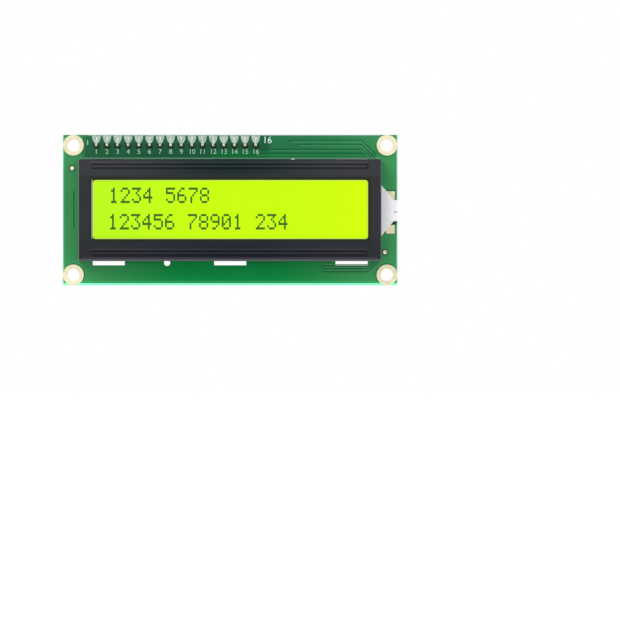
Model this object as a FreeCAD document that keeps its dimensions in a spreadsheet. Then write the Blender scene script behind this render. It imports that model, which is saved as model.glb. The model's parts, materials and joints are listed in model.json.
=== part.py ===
import FreeCAD, Part
import math
import operator
import os
from types import SimpleNamespace

import Sketcher

# A two-row character display module with a serial interface board on its back.
# The frame's origin is the centre of the four mounting holes, on the front face of the main
# board. The display faces -Y, +X is to the viewer's right and +Z is up. Millimetres.

SIZES = {
    # main board and its mounting holes
    "board_length": 80.0,
    "board_width": 36.0,
    "board_thickness": 1.6,
    "bolt_inset": 2.5,
    "bolt_bore": 2.9,
    "bolt_land": 5.0,
    "barrel_wall": 0.1,
    "land_thickness": 0.06,
    "via_bore": 0.75,
    "vent_bore": 1.5,
    # the sixteen-pin row that joins the two boards
    "pin_pitch": 2.54,
    "pin_total": 16,
    "pin_side": 0.64,
    "pin_hole": 1.0,
    "pin_one_inset": 8.0,
    "pin_row_inset": 2.5,
    "pin_front_reach": 1.15,
    "pin_back_reach": 1.2,
    "pin_land_width": 1.95,
    "pin_land_length": 3.5,
    "pin_land_inset": 0.1,
    "strip_height": 2.54,
    "strip_chamfer": 0.45,
    "joint_base": 1.6,
    "joint_taper": 17.0,
    "joint_height": 0.95,
    # stamped steel bezel
    "bezel_end_margin": 3.9,
    "bezel_top_margin": 6.0,
    "bezel_bottom_margin": 5.8,
    "bezel_rise": 7.1,
    "sheet_gauge": 0.5,
    "bezel_bend": 0.85,
    "seam_width": 0.12,
    "window_end_border": 2.95,
    "window_side_border": 4.95,
    "window_corner": 0.55,
    "window_left_bias": 0.15,
    "window_top_bias": 0.25,
    "bead_end_border": 3.2,
    "bead_width": 1.3,
    "bead_setback": 1.05,
    "bead_depth": 0.2,
    "tab_width": 7.0,
    "tab_turn": 48.0,
    "tab_reach": 1.45,
    "slot_length": 7.7,
    "slot_width": 4.15,
    "slot_end_inset": 7.05,
    "slot_clearance": 0.2,
    "slot_lower_clearance": 1.0,
    "notch_length": 12.6,
    "notch_rise": 2.2,
    "notch_centre": 0.15,
    # display glass and its light
    "glass_thickness": 1.1,
    "glass_margin": 0.3,
    "film_thickness": 0.2,
    "film_overlap": 0.3,
    "film_offset": 0.25,
    "rim_wall": 0.8,
    "guide_overlap": 0.25,
    "guide_thickness": 2.8,
    "guide_wall": 0.9,
    "fit_gap": 0.1,
    "rubber_width": 1.8,
    "rubber_end_margin": 3.1,
    "rubber_setback": 3.2,
    "rear_glass_gap": 0.4,
    "ear_thickness": 1.9,
    "ear_lift": 0.1,
    "ear_root": 12.0,
    "ear_shoulder": 10.4,
    "ear_shoulder_reach": 0.8,
    "ear_tip": 5.0,
    "ear_tip_reach": 3.0,
    "lamp_inset": 0.1,
    "lamp_length": 4.2,
    "lamp_depth": 1.4,
    "lamp_height": 1.3,
    "lamp_pin_side": 0.5,
    "lamp_pin_tail": 0.6,
    "lamp_centre": 0.52,
    "lamp_joint": 1.75,
    # parts on the back of the main board
    "blob_one_diameter": 12.2,
    "blob_two_diameter": 10.8,
    "blob_height": 1.5,
    "chip_length": 2.0,
    "chip_width": 1.25,
    "chip_height": 0.55,
    "chip_cap": 0.4,
    "large_chip_length": 3.9,
    "large_chip_width": 1.4,
    "deck_chip_length": 3.1,
    "deck_chip_width": 1.45,
    "dot_diameter": 1.4,
    "dot_height": 0.35,
    # interface board
    "deck_length": 42.0,
    "deck_width": 18.8,
    "deck_thickness": 1.6,
    "deck_overhang": 2.3,
    "deck_top_margin": 1.3,
    "trimmer_side": 7.6,
    "trimmer_height": 4.9,
    "trimmer_chamfer": 0.3,
    "trimmer_foot": 0.35,
    "trimmer_foot_side": 0.8,
    "trimmer_along": 9.3,
    "trimmer_down": 7.9,
    "trimmer_pin": 0.5,
    "trimmer_pin_tail": 1.0,
    "well_depth": 1.1,
    "rotor_diameter": 2.85,
    "rotor_height": 0.9,
    "rotor_clearance": 0.06,
    "driver_slot": 0.62,
    "driver_span": 2.2,
    "driver_depth": 0.5,
    "package_length": 10.3,
    "package_width": 7.5,
    "package_height": 2.3,
    "package_standoff": 0.1,
    "package_draft": 6.0,
    "package_along": 21.0,
    "package_down": 9.1,
    "lead_pitch": 1.27,
    "lead_count": 8,
    "lead_width": 0.42,
    "lead_gauge": 0.25,
    "lead_span": 10.3,
    "lead_foot": 0.65,
    "lead_shoulder": 0.45,
    "sot_length": 2.9,
    "sot_width": 1.3,
    "sot_height": 1.0,
    "sot_along": 36.3,
    "sot_down": 7.3,
    "lamp_chip_height": 0.8,
    # right-angle pin headers and the jumper
    "bus_total": 4,
    "bus_inset": 1.45,
    "bus_down": 5.45,
    "bus_reach": 7.15,
    "jumper_inset": 1.45,
    "jumper_down": 7.0,
    "jumper_reach": 6.6,
    "bend_rise": 0.9,
    "bend_radius": 0.35,
    "leg_tail": 0.9,
    "cap_length": 6.2,
    "cap_width": 4.9,
    "cap_height": 2.5,
    "cap_gap": 1.75,
    "cap_bore": 0.8,
    "cap_bore_depth": 5.3,
    "contact_gauge": 0.15,
    "viewport_length": 1.0,
    "viewport_width": 1.7,
    "viewport_inset": 0.7,
}

# parts of the main board's back: distance from an end, distance below the top edge
LEFT_CHIPS = [(9.2, 20.3), (9.2, 22.3), (9.2, 24.7), (16.9, 22.2)]
LARGE_CHIP = (19.7, 5.55)
BLOB_ONE = (27.0, 19.0)
BLOB_TWO = (26.8, 17.6)
TEST_DOTS = [(13.4, 12.5), (10.8, 12.5), (8.4, 12.5)]
LEFT_VIA, RIGHT_VIA = (2.2, 8.0), (3.2, 28.2)
LEFT_VENT, RIGHT_VENT = (24.9, 30.6), (25.0, 6.4)
TERMINALS = [(1.65, 14.55), (1.65, 22.65)]
TERMINAL_SIDE = 2.1
EYELET_SIDES = 16
VENT_SIDES = 12
# bare lands there: distance from the right end, distance below the top edge, size along X and Z
RIGHT_LANDS = (
    [(across, down, 2.0, 0.65) for across in (13.75, 7.95) for down in (14.4, 15.7, 17.0, 18.2)]
    + [(across, down, wide, 1.6) for down in (20.9, 24.45) for across, wide in ((11.0, 1.5), (8.6, 1.2))]
    + [(12.7, down, 0.9, 2.5) for down in (20.9, 24.45)]
    + [(1.0, down, 1.7, 1.7) for down in (16.9, 20.1)]
)
LEFT_LANDS = [(across, 24.2, 1.1, 1.3) for across in (15.9, 17.8)]
# parts of the interface board: distance along it from its left end, distance below its top edge
UPRIGHT_CHIPS = [(29.6, 12.0), (32.2, 12.0), (34.9, 12.0), (32.7, 6.85)]
LEVEL_CHIPS = [(21.6, 16.7), (26.2, 16.7), (30.8, 16.7)]
SIGNAL_LAMP = (30.15, 6.8)
POWER_LAMP = (37.4, 12.1)
BRIDGE_LANDS = [(along, down, 1.1, 0.8) for along in (6.7, 9.2, 11.7) for down in (15.05, 16.35)]

doc = FreeCAD.newDocument("display_module")
sheet = doc.addObject("Spreadsheet::Sheet", "sizes")
for row, (alias, number) in enumerate(SIZES.items(), start=1):
    sheet.set("A%d" % row, alias)
    sheet.set("B%d" % row, str(number))
    sheet.setAlias("B%d" % row, alias)
doc.recompute()


class Size:
    """A number with the expression that binds it to the sheet, joined by plain arithmetic."""

    def __init__(self, value, text=None):
        self.value = float(value)
        self.text = text or "(%r)" % self.value

    def __neg__(self):
        return Size(-self.value, "(0 - %s)" % self.text)


def from_left(spot):
    return spot[0] - s.board_length / 2, s.board_width / 2 - spot[1]


def from_right(spot):
    return s.board_length / 2 - spot[0], s.board_width / 2 - spot[1]


def on_deck(spot):
    return DECK_LEFT + spot[0], DECK_TOP - spot[1]


def as_size(number):
    return number if isinstance(number, Size) else Size(number)


def arithmetic(sign, work):
    def forward(left, right):
        left, right = as_size(left), as_size(right)
        return Size(work(left.value, right.value), "(%s %s %s)" % (left.text, sign, right.text))

    def reflected(right, left):
        return forward(left, right)

    return forward, reflected


Size.__add__, Size.__radd__ = arithmetic("+", operator.add)
Size.__sub__, Size.__rsub__ = arithmetic("-", operator.sub)
Size.__mul__, Size.__rmul__ = arithmetic("*", operator.mul)
Size.__truediv__, Size.__rtruediv__ = arithmetic("/", operator.truediv)


def cosine(angle):
    return Size(math.cos(math.radians(angle.value)), "cos(%s * 1 deg)" % angle.text)


def sine(angle):
    return Size(math.sin(math.radians(angle.value)), "sin(%s * 1 deg)" % angle.text)


s = SimpleNamespace(**{alias: Size(number, "sizes." + alias) for alias, number in SIZES.items()})

# levels along Y, from the main board's front face towards the back
BOARD_BACK = s.board_thickness
STRIP_BASE = BOARD_BACK + s.land_thickness
DECK_FRONT = STRIP_BASE + s.strip_height
DECK_BACK = DECK_FRONT + s.deck_thickness
# levels along Y, from the bezel's face down to the board
BEZEL_FACE = -s.bezel_rise
GLASS_FACE = BEZEL_FACE + s.sheet_gauge + s.film_thickness
GLASS_MIDDLE = GLASS_FACE + s.glass_thickness
GLASS_BACK = GLASS_MIDDLE + s.glass_thickness
GUIDE_FACE = GLASS_BACK + s.film_thickness
# places in the XZ plane
PIN_ONE_X = s.pin_one_inset - s.board_length / 2
ROW_Z = s.board_width / 2 - s.pin_row_inset
DECK_LEFT = PIN_ONE_X - s.deck_overhang
DECK_RIGHT = DECK_LEFT + s.deck_length
DECK_TOP = ROW_Z + s.deck_top_margin
BUS_X = DECK_LEFT + s.bus_inset
BUS_Z = DECK_TOP - s.bus_down
JUMPER_X = DECK_RIGHT - s.jumper_inset
JUMPER_Z = DECK_TOP - s.jumper_down
BOLT_PITCH_X = s.board_length - 2 * s.bolt_inset
BOLT_PITCH_Z = s.board_width - 2 * s.bolt_inset
BEZEL_LENGTH = s.board_length - 2 * s.bezel_end_margin
WALL_TOP = s.board_width / 2 - s.bezel_top_margin
WALL_BOTTOM = s.bezel_bottom_margin - s.board_width / 2
BEZEL_WIDTH = WALL_TOP - WALL_BOTTOM
BEZEL_Z = (WALL_TOP + WALL_BOTTOM) / 2
WINDOW_LENGTH = BEZEL_LENGTH - 2 * s.window_end_border
WINDOW_WIDTH = BEZEL_WIDTH - 2 * s.window_side_border
SLOT_PITCH = BEZEL_LENGTH / 2 - s.slot_end_inset
SLOT_TOP_Z = WALL_TOP + s.slot_clearance - s.slot_width / 2
SLOT_BOTTOM_Z = WALL_BOTTOM - s.slot_lower_clearance + s.slot_width / 2
RUBBER_LENGTH = BEZEL_LENGTH - 2 * s.rubber_end_margin
RUBBER_Z = BEZEL_WIDTH / 2 - s.rubber_setback
REAR_GLASS_WIDTH = 2 * (RUBBER_Z - s.rubber_width / 2 - s.rear_glass_gap)
GUIDE_LENGTH = WINDOW_LENGTH + 2 * s.guide_overlap
GUIDE_WIDTH = 2 * (RUBBER_Z - s.rubber_width / 2 - s.guide_wall)
LAMP_X = BEZEL_LENGTH / 2 - s.lamp_inset
LAMP_PIN_ROWS = (s.pin_pitch / 2 - s.lamp_centre, -s.pin_pitch / 2 - s.lamp_centre)
ARM_LEVEL = DECK_BACK + s.pin_pitch + s.bend_rise

NODES = []


def bind(thing, path, size):
    thing.setExpression(path, as_size(size).text)


def keep(thing, label):
    thing.Label = label
    NODES.append(thing)
    return thing


def place(thing, x=0, y=0, z=0):
    for axis, size in zip("xyz", (x, y, z)):
        bind(thing, "Placement.Base." + axis, size)
    return thing


def new_body(name):
    return doc.addObject("PartDesign::Body", name)


def origin(body, role):
    return next(part for part in body.Origin.OriginFeatures if part.Role == role)


def drawing(body, name, role, level):
    """A sketch on one of the body's origin planes, shifted along that plane's normal."""
    sketch = body.newObject("Sketcher::SketchObject", name)
    sketch.AttachmentSupport = (origin(body, role), [""])
    sketch.MapMode = "FlatFace"
    bind(sketch, "AttachmentOffset.Base.z", level)
    return sketch


def front_view(body, name, level=0):
    """A sketch seen from the front, at a level along Y. Its pads grow towards -Y."""
    return drawing(body, name, "XZ_Plane", -as_size(level))


def side_view(body, name, level=0):
    """A sketch in X and Y, seen from above, at a height along Z."""
    return drawing(body, name, "XY_Plane", level)


def held(index, corner, x, y):
    """Rules that hold one point of a sketch at its place, each with the size that drives it."""
    return [(Sketcher.Constraint(kind, -1, 1, index, corner, size.value), size)
            for kind, size in (("DistanceX", x), ("DistanceY", y))]


def add_rules(sketch, rules):
    first = sketch.ConstraintCount
    sketch.addConstraint([rule for rule, size in rules])
    for number, (rule, size) in enumerate(rules, start=first):
        if size is not None:
            bind(sketch, "Constraints[%d]" % number, size)


def polygon(sketch, points):
    """A closed outline whose every corner is held at its place."""
    points = [(as_size(x), as_size(y)) for x, y in points]
    first = sketch.GeometryCount
    spots = [FreeCAD.Vector(x.value, y.value, 0) for x, y in points]
    count = len(points)
    sketch.addGeometry([Part.LineSegment(spots[number], spots[(number + 1) % count])
                        for number in range(count)])
    rules = []
    for number in range(count):
        following = first + (number + 1) % count
        rules.append((Sketcher.Constraint("Coincident", first + number, 2, following, 1), None))
        rules += held(first + number, 1, *points[number])
    add_rules(sketch, rules)


def rectangle(sketch, x_low, x_high, y_low, y_high):
    polygon(sketch, [(x_low, y_low), (x_high, y_low), (x_high, y_high), (x_low, y_high)])


def centred(sketch, x, y, length, width):
    rectangle(sketch, x - length / 2, x + length / 2, y - width / 2, y + width / 2)


def circle(sketch, x, y, diameter):
    x, y, diameter = as_size(x), as_size(y), as_size(diameter)
    middle = FreeCAD.Vector(x.value, y.value, 0)
    axis = FreeCAD.Vector(0, 0, 1)
    index = sketch.addGeometry(Part.Circle(middle, axis, diameter.value / 2))
    add_rules(sketch, held(index, 3, x, y)
              + [(Sketcher.Constraint("Diameter", index, diameter.value), diameter)])


def facets(sketch, x, y, across, sides=8):
    """An even polygon stands for a round outline that repeats, so that the part stays light."""
    half_turn = math.pi / sides
    radius = as_size(across) / (2 * math.cos(half_turn))
    turns = [(2 * number + 1) * half_turn for number in range(sides)]
    polygon(sketch, [(x + radius * math.cos(turn), y + radius * math.sin(turn)) for turn in turns])


def pad(body, sketch, length, midplane=False):
    feature = body.newObject("PartDesign::Pad", sketch.Name + "_pad")
    feature.Profile = sketch
    feature.Midplane = midplane
    bind(feature, "Length", length)
    return feature


def pocket(body, sketch, depth, towards_front=False):
    """A cut from a front view's level towards the back, or towards the front."""
    feature = body.newObject("PartDesign::Pocket", sketch.Name + "_pocket")
    feature.Profile = sketch
    feature.Reversed = towards_front
    bind(feature, "Length", depth)
    return feature


def revolve(body, sketch):
    feature = body.newObject("PartDesign::Revolution", sketch.Name + "_turned")
    feature.Profile = sketch
    feature.ReferenceAxis = (sketch, ["V_Axis"])
    feature.Angle = 360
    return feature


def row_of(body, originals, role, pitch, count, backwards=False):
    """The originals repeated along one axis of the body."""
    count = as_size(count)
    feature = body.newObject("PartDesign::LinearPattern", originals[0].Name + "_row")
    feature.Originals = originals
    feature.Direction = (origin(body, role), [""])
    feature.Reversed = backwards
    bind(feature, "Length", (count - 1) * pitch)
    bind(feature, "Occurrences", count)
    body.Tip = feature
    return feature


def at_corners(body, originals):
    """The originals repeated at the four mounting holes, from the lower left one."""
    corners = body.newObject("PartDesign::MultiTransform", originals[0].Name + "_corners")
    corners.Originals = originals
    steps = []
    for role, pitch in (("X_Axis", BOLT_PITCH_X), ("Z_Axis", BOLT_PITCH_Z)):
        step = body.newObject("PartDesign::LinearPattern", "%s_%s" % (corners.Name, role[0].lower()))
        step.Direction = (origin(body, role), [""])
        bind(step, "Length", pitch)
        step.Occurrences = 2
        steps.append(step)
    corners.Transformations = steps
    body.Tip = corners
    return corners


def edge_names(feature, wanted):
    """The names of the feature's edges that a test on their middle and direction picks."""
    names = []
    for number, edge in enumerate(feature.Shape.Edges, start=1):
        along = edge.tangentAt(edge.FirstParameter)
        if wanted(edge.CenterOfMass, along):
            names.append("Edge%d" % number)
    return names


def dress(body, kind, feature, names, size):
    """A PartDesign fillet or chamfer on the named edges."""
    soft = body.newObject("PartDesign::" + kind, feature.Name + "_" + kind.lower())
    soft.Base = (feature, names)
    bind(soft, "Radius" if kind == "Fillet" else "Size", size)
    return soft


def box(name, x, y, z):
    """A block between pairs of levels along the three axes."""
    block = doc.addObject("Part::Box", name)
    for side, (low, high) in zip(("Length", "Width", "Height"), (x, y, z)):
        bind(block, side, as_size(high) - low)
    return place(block, x[0], y[0], z[0])


def around(middle, span):
    middle, span = as_size(middle), as_size(span)
    return middle - span / 2, middle + span / 2


def gathered(label, things):
    group = doc.addObject("Part::Compound", label)
    group.Links = things
    return keep(group, label)


def cut(name, base, tool):
    result = doc.addObject("Part::Cut", name)
    result.Base = base
    result.Tool = tool
    return result


def main_board(pins):
    board = new_body("main_board_blank")
    outline = front_view(board, "board_outline", BOARD_BACK)
    centred(outline, 0, 0, s.board_length, s.board_width)
    pad(board, outline, s.board_thickness)
    bore = front_view(board, "bolt_bore")
    facets(bore, -BOLT_PITCH_X / 2, -BOLT_PITCH_Z / 2, s.bolt_bore + 2 * s.barrel_wall, EYELET_SIDES)
    at_corners(board, [pocket(board, bore, s.board_thickness)])
    vents = front_view(board, "board_vents")
    for x, z in (from_left(LEFT_VENT), from_right(RIGHT_VENT)):
        facets(vents, x, z, s.vent_bore, VENT_SIDES)
    pocket(board, vents, s.board_thickness)
    small = front_view(board, "board_small_holes")
    for x, z in (from_left(LEFT_VIA), from_right(RIGHT_VIA), *((LAMP_X, row) for row in LAMP_PIN_ROWS)):
        facets(small, x, z, s.via_bore)
    pocket(board, small, s.board_thickness)
    slot = front_view(board, "tab_slots")
    for z in (SLOT_TOP_Z, SLOT_BOTTOM_Z):
        centred(slot, -SLOT_PITCH, z, s.slot_length, s.slot_width)
    row_of(board, [pocket(board, slot, s.board_thickness)], "X_Axis", SLOT_PITCH, 3)
    return keep(cut("main_board_bored", board, pins), "main_board")


def mounting_eyelets():
    """Tinned rings on both faces, joined through each mounting hole by a plated barrel."""
    eyelets = new_body("mounting_eyelets")
    pads = []
    for name, across, base, height in (
            ("front_plate", s.bolt_land, 0, s.land_thickness),
            ("barrel", s.bolt_bore + 2 * s.barrel_wall, BOARD_BACK, s.board_thickness),
            ("back_plate", s.bolt_land, STRIP_BASE, s.land_thickness)):
        ring = front_view(eyelets, name, base)
        facets(ring, 0, 0, across, EYELET_SIDES)
        circle(ring, 0, 0, s.bolt_bore)
        pads.append(pad(eyelets, ring, height))
    at_corners(eyelets, pads)
    place(eyelets, -BOLT_PITCH_X / 2, 0, -BOLT_PITCH_Z / 2)
    return keep(eyelets, "mounting_eyelets")


def header_pins():
    pins = new_body("header_pins")
    end = front_view(pins, "pin_end", DECK_BACK + s.pin_back_reach)
    centred(end, 0, 0, s.pin_side, s.pin_side)
    one = pad(pins, end, DECK_BACK + s.pin_back_reach + s.pin_front_reach)
    row_of(pins, [one], "X_Axis", s.pin_pitch, s.pin_total)
    place(pins, PIN_ONE_X, 0, ROW_Z)
    return keep(pins, "header_pins")


def header_lands(pins):
    """Tinned lands from each pin to the board's top edge, and their ends on the board's back."""
    lands = new_body("header_lands_blank")
    top = s.pin_row_inset - s.pin_land_inset
    plates = []
    for name, level, bottom in (("front_land", 0, top - s.pin_land_length),
                                ("back_land", STRIP_BASE, s.pin_pitch / 2)):
        plate = front_view(lands, name, level)
        rectangle(plate, -s.pin_land_width / 2, s.pin_land_width / 2, bottom, top)
        plates.append(pad(lands, plate, s.land_thickness))
    row_of(lands, plates, "X_Axis", s.pin_pitch, s.pin_total)
    place(lands, PIN_ONE_X, 0, ROW_Z)
    return keep(cut("header_lands_bored", lands, pins), "header_lands")


def drawn_in(body, drop, base, towards_front=False):
    """Leans the sides of a drop of solder inwards from its base, as flat faces."""
    doc.recompute()
    level = as_size(base).value
    numbered = list(enumerate(drop.Shape.Faces, start=1))
    sides = ["Face%d" % number for number, face in numbered if abs(face.normalAt(0, 0).y) < 0.5]
    foot = ["Face%d" % number for number, face in numbered
            if abs(face.BoundBox.YMin - level) < 0.001 and abs(face.BoundBox.YMax - level) < 0.001]
    lean = body.newObject("PartDesign::Draft", drop.Name + "_lean")
    lean.Base = (drop, sides)
    lean.NeutralPlane = (drop, foot)
    lean.Reversed = towards_front
    bind(lean, "Angle", s.joint_taper)
    body.Tip = lean
    return lean


def solder_cone(body, name, base, towards_front, across):
    """One drop of solder around a pin."""
    outline = front_view(body, name, base)
    facets(outline, 0, 0, across)
    drop = pad(body, outline, s.joint_height)
    drop.Reversed = not towards_front
    return drawn_in(body, drop, base, towards_front)


def header_joints(name, base, towards_front, pins):
    """A row of solder cones that stand on a level, one around each header pin."""
    cones = new_body(name + "_blank")
    cone = solder_cone(cones, name + "_outline", base, towards_front, s.joint_base)
    row_of(cones, [cone], "X_Axis", s.pin_pitch, s.pin_total).TransformMode = "Whole shape"
    place(cones, PIN_ONE_X, 0, ROW_Z)
    return keep(cut(name + "_bored", cones, pins), name)


def header_strip(pins):
    """The moulded strip between the boards, a chamfered square around each pin."""
    strip = new_body("header_strip_blank")
    half, corner = s.pin_pitch / 2, s.pin_pitch / 2 - s.strip_chamfer
    outline = front_view(strip, "strip_cell", DECK_FRONT)
    polygon(outline, [(-half, -corner), (-corner, -half), (corner, -half), (half, -corner),
                      (half, corner), (corner, half), (-corner, half), (-half, corner)])
    row_of(strip, [pad(strip, outline, s.strip_height)], "X_Axis", s.pin_pitch, s.pin_total)
    place(strip, PIN_ONE_X, 0, ROW_Z)
    return keep(cut("header_strip_bored", strip, pins), "header_strip")


def tab_section(turn):
    """A tab's section: straight for half its width, the other half turned inwards."""
    half, gauge = s.tab_width / 2, s.sheet_gauge
    spine = [(half, as_size(0)), (as_size(0), as_size(0)), (-half * cosine(turn), half * sine(turn))]
    normals = [turn * 0, turn / 2, turn]
    upper = [(x + gauge * sine(angle), z + gauge * cosine(angle))
             for (x, z), angle in zip(spine, normals)]
    return [(x - SLOT_PITCH, z - BEZEL_WIDTH / 2) for x, z in spine + upper[::-1]]


def bezel():
    """One folded sheet: window, two beads, corner seams, a notch and six turned tabs."""
    shell = new_body("bezel")
    outline = front_view(shell, "bezel_outline")
    centred(outline, 0, 0, BEZEL_LENGTH, BEZEL_WIDTH)
    block = pad(shell, outline, s.bezel_rise)
    doc.recompute()
    face = BEZEL_FACE.value
    brow = edge_names(block, lambda middle, along: abs(middle.y - face) < 0.01)
    bent = dress(shell, "Fillet", block, brow, s.bezel_bend)
    doc.recompute()
    open_back = ["Face%d" % number for number, side in enumerate(bent.Shape.Faces, start=1)
                 if side.BoundBox.YMin > -0.01]
    hollow = shell.newObject("PartDesign::Thickness", "bezel_shell")
    hollow.Base = (bent, open_back)
    hollow.Reversed = True
    bind(hollow, "Value", s.sheet_gauge)
    ribs = front_view(shell, "bead_backs", BEZEL_FACE + s.sheet_gauge + s.bead_depth)
    grooves = front_view(shell, "bead_fronts", BEZEL_FACE)
    bead_z = BEZEL_WIDTH / 2 - s.bead_setback - s.bead_width / 2
    for z in (bead_z, -bead_z):
        for sketch in (ribs, grooves):
            centred(sketch, 0, z, BEZEL_LENGTH - 2 * s.bead_end_border, s.bead_width)
    pad(shell, ribs, s.bead_depth)
    pocket(shell, grooves, s.bead_depth)
    window = front_view(shell, "window", BEZEL_FACE)
    centred(window, -s.window_left_bias, s.window_top_bias, WINDOW_LENGTH, WINDOW_WIDTH)
    cut_window = pocket(shell, window, s.sheet_gauge)
    doc.recompute()
    corners = edge_names(cut_window, lambda middle, along: abs(along.y) > 0.99
                         and abs(abs(middle.x + s.window_left_bias.value)
                                 - WINDOW_LENGTH.value / 2) < 0.01)
    dress(shell, "Fillet", cut_window, corners, s.window_corner)
    seams = front_view(shell, "corner_seams")
    for side in (-1, 1):
        for end in (-1, 1):
            centred(seams, side * BEZEL_LENGTH / 2, end * (BEZEL_WIDTH / 2 - s.sheet_gauge),
                    2.5 * s.sheet_gauge, s.seam_width)
    pocket(shell, seams, s.bezel_rise - s.bezel_bend, towards_front=True)
    notch = front_view(shell, "ear_notch")
    rectangle(notch, BEZEL_LENGTH / 2 - 2 * s.sheet_gauge, BEZEL_LENGTH / 2 + s.sheet_gauge,
              *around(-BEZEL_Z - s.notch_centre, s.notch_length))
    pocket(shell, notch, s.notch_rise, towards_front=True)
    stems = front_view(shell, "tab_stems", BOARD_BACK)
    centred(stems, -SLOT_PITCH, s.sheet_gauge / 2 - BEZEL_WIDTH / 2, s.tab_width, s.sheet_gauge)
    stem = pad(shell, stems, s.board_thickness)
    fold = front_view(shell, "tab_fold", BOARD_BACK + s.tab_reach)
    polygon(fold, tab_section(s.tab_turn))
    folded = pad(shell, fold, s.tab_reach)
    tabs = shell.newObject("PartDesign::MultiTransform", "tabs")
    tabs.Originals = [stem, folded]
    along = shell.newObject("PartDesign::LinearPattern", "tabs_along_wall")
    along.Direction = (origin(shell, "X_Axis"), [""])
    bind(along, "Length", 2 * SLOT_PITCH)
    along.Occurrences = 3
    opposite = shell.newObject("PartDesign::PolarPattern", "tabs_on_both_walls")
    opposite.Axis = (origin(shell, "Y_Axis"), [""])
    opposite.Occurrences = 2
    tabs.Transformations = [along, opposite]
    shell.Tip = tabs
    place(shell, 0, 0, BEZEL_Z)
    return keep(shell, "bezel")


def display_stack():
    """Films and glass plates behind the window, clamped by the bezel's beads."""
    inside = 2 * s.sheet_gauge
    film_x = around(s.film_offset, WINDOW_LENGTH)
    film_z = around(BEZEL_Z + s.window_top_bias, WINDOW_WIDTH + 2 * s.film_overlap)
    well_x = BEZEL_LENGTH - inside - 2 * s.rim_wall - 4 * s.fit_gap
    keep(box("front_polariser", film_x, (BEZEL_FACE + s.sheet_gauge, GLASS_FACE), film_z),
         "front_polariser")
    keep(box("front_glass", around(0, BEZEL_LENGTH - inside - 2 * s.glass_margin),
             (GLASS_FACE, GLASS_MIDDLE), around(BEZEL_Z, BEZEL_WIDTH - inside - 2 * s.glass_margin)),
         "front_glass")
    keep(box("rear_glass", around(0, well_x), (GLASS_MIDDLE, GLASS_BACK),
             around(BEZEL_Z, REAR_GLASS_WIDTH)), "rear_glass")
    keep(box("rear_polariser", film_x, (GLASS_BACK, GUIDE_FACE), around(BEZEL_Z, GUIDE_WIDTH)),
         "rear_polariser")
    keep(box("light_guide", around(0, GUIDE_LENGTH), (GUIDE_FACE, GUIDE_FACE + s.guide_thickness),
             around(BEZEL_Z, GUIDE_WIDTH)), "light_guide")
    gathered("elastomer_strips", [
        box("elastomer_" + name, around(0, RUBBER_LENGTH), (GLASS_MIDDLE, 0),
            around(BEZEL_Z + side * RUBBER_Z, s.rubber_width))
        for name, side in (("upper", 1), ("lower", -1))])


def backlight_housing():
    """White frame behind the glass, with an ear that holds the lamp beside the bezel."""
    frame = new_body("backlight_housing")
    clear = 2 * (s.sheet_gauge + s.fit_gap)
    outline = front_view(frame, "housing_outline")
    centred(outline, 0, 0, BEZEL_LENGTH - clear, BEZEL_WIDTH - clear)
    pad(frame, outline, -GLASS_MIDDLE)
    well = front_view(frame, "glass_well", GLASS_MIDDLE)
    inner = clear + 2 * s.rim_wall
    centred(well, 0, 0, BEZEL_LENGTH - inner, BEZEL_WIDTH - inner)
    pocket(frame, well, GUIDE_FACE - GLASS_MIDDLE)
    seat = front_view(frame, "guide_seat", GUIDE_FACE)
    centred(seat, 0, 0, GUIDE_LENGTH + 2 * s.fit_gap, GUIDE_WIDTH + 2 * s.fit_gap)
    pocket(frame, seat, s.guide_thickness)
    slots = front_view(frame, "elastomer_slots", GUIDE_FACE)
    for side in (1, -1):
        centred(slots, 0, side * RUBBER_Z, RUBBER_LENGTH + 2 * s.fit_gap, s.rubber_width + 2 * s.fit_gap)
    pocket(frame, slots, -GUIDE_FACE)
    ear = front_view(frame, "ear_outline", -s.ear_lift)
    wall = BEZEL_LENGTH / 2
    middle = -BEZEL_Z - s.notch_centre
    edge = [(wall - clear, s.ear_root), (wall + s.fit_gap, s.ear_root),
            (wall + s.ear_shoulder_reach, s.ear_shoulder), (wall + s.ear_tip_reach, s.ear_tip),
            (s.board_length / 2, s.ear_tip)]
    polygon(ear, [(x, middle - width / 2) for x, width in edge]
            + [(x, middle + width / 2) for x, width in edge[::-1]])
    pad(frame, ear, s.ear_thickness)
    nest = front_view(frame, "lamp_nest")
    centred(nest, LAMP_X, -BEZEL_Z - s.lamp_centre, s.lamp_depth + 2 * s.fit_gap,
            s.lamp_length + 2 * s.fit_gap)
    pocket(frame, nest, s.ear_lift + s.lamp_height + 2 * s.fit_gap, towards_front=True)
    place(frame, 0, 0, BEZEL_Z)
    return keep(frame, "backlight_housing")


def backlight_lamp():
    """The lamp in the housing's ear, its two pins and their joints on the board's back."""
    back = -s.ear_lift
    keep(box("backlight_lamp", around(LAMP_X, s.lamp_depth), (back - s.lamp_height - s.fit_gap, back),
             around(-s.lamp_centre, s.lamp_length)), "backlight_lamp")
    pins = gathered("backlight_pins", [
        box("lamp_pin_%d" % number, around(LAMP_X, s.lamp_pin_side),
            (back, BOARD_BACK + s.joint_height + s.lamp_pin_tail), around(z, s.lamp_pin_side))
        for number, z in enumerate(LAMP_PIN_ROWS, start=1)])
    cones = new_body("backlight_joints_blank")
    cone = solder_cone(cones, "lamp_joint_outline", BOARD_BACK, False, s.lamp_joint)
    row_of(cones, [cone], "Z_Axis", s.pin_pitch, 2, backwards=True).TransformMode = "Whole shape"
    place(cones, LAMP_X, 0, LAMP_PIN_ROWS[0])
    keep(cut("backlight_joints_bored", cones, pins), "backlight_joints")


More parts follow.
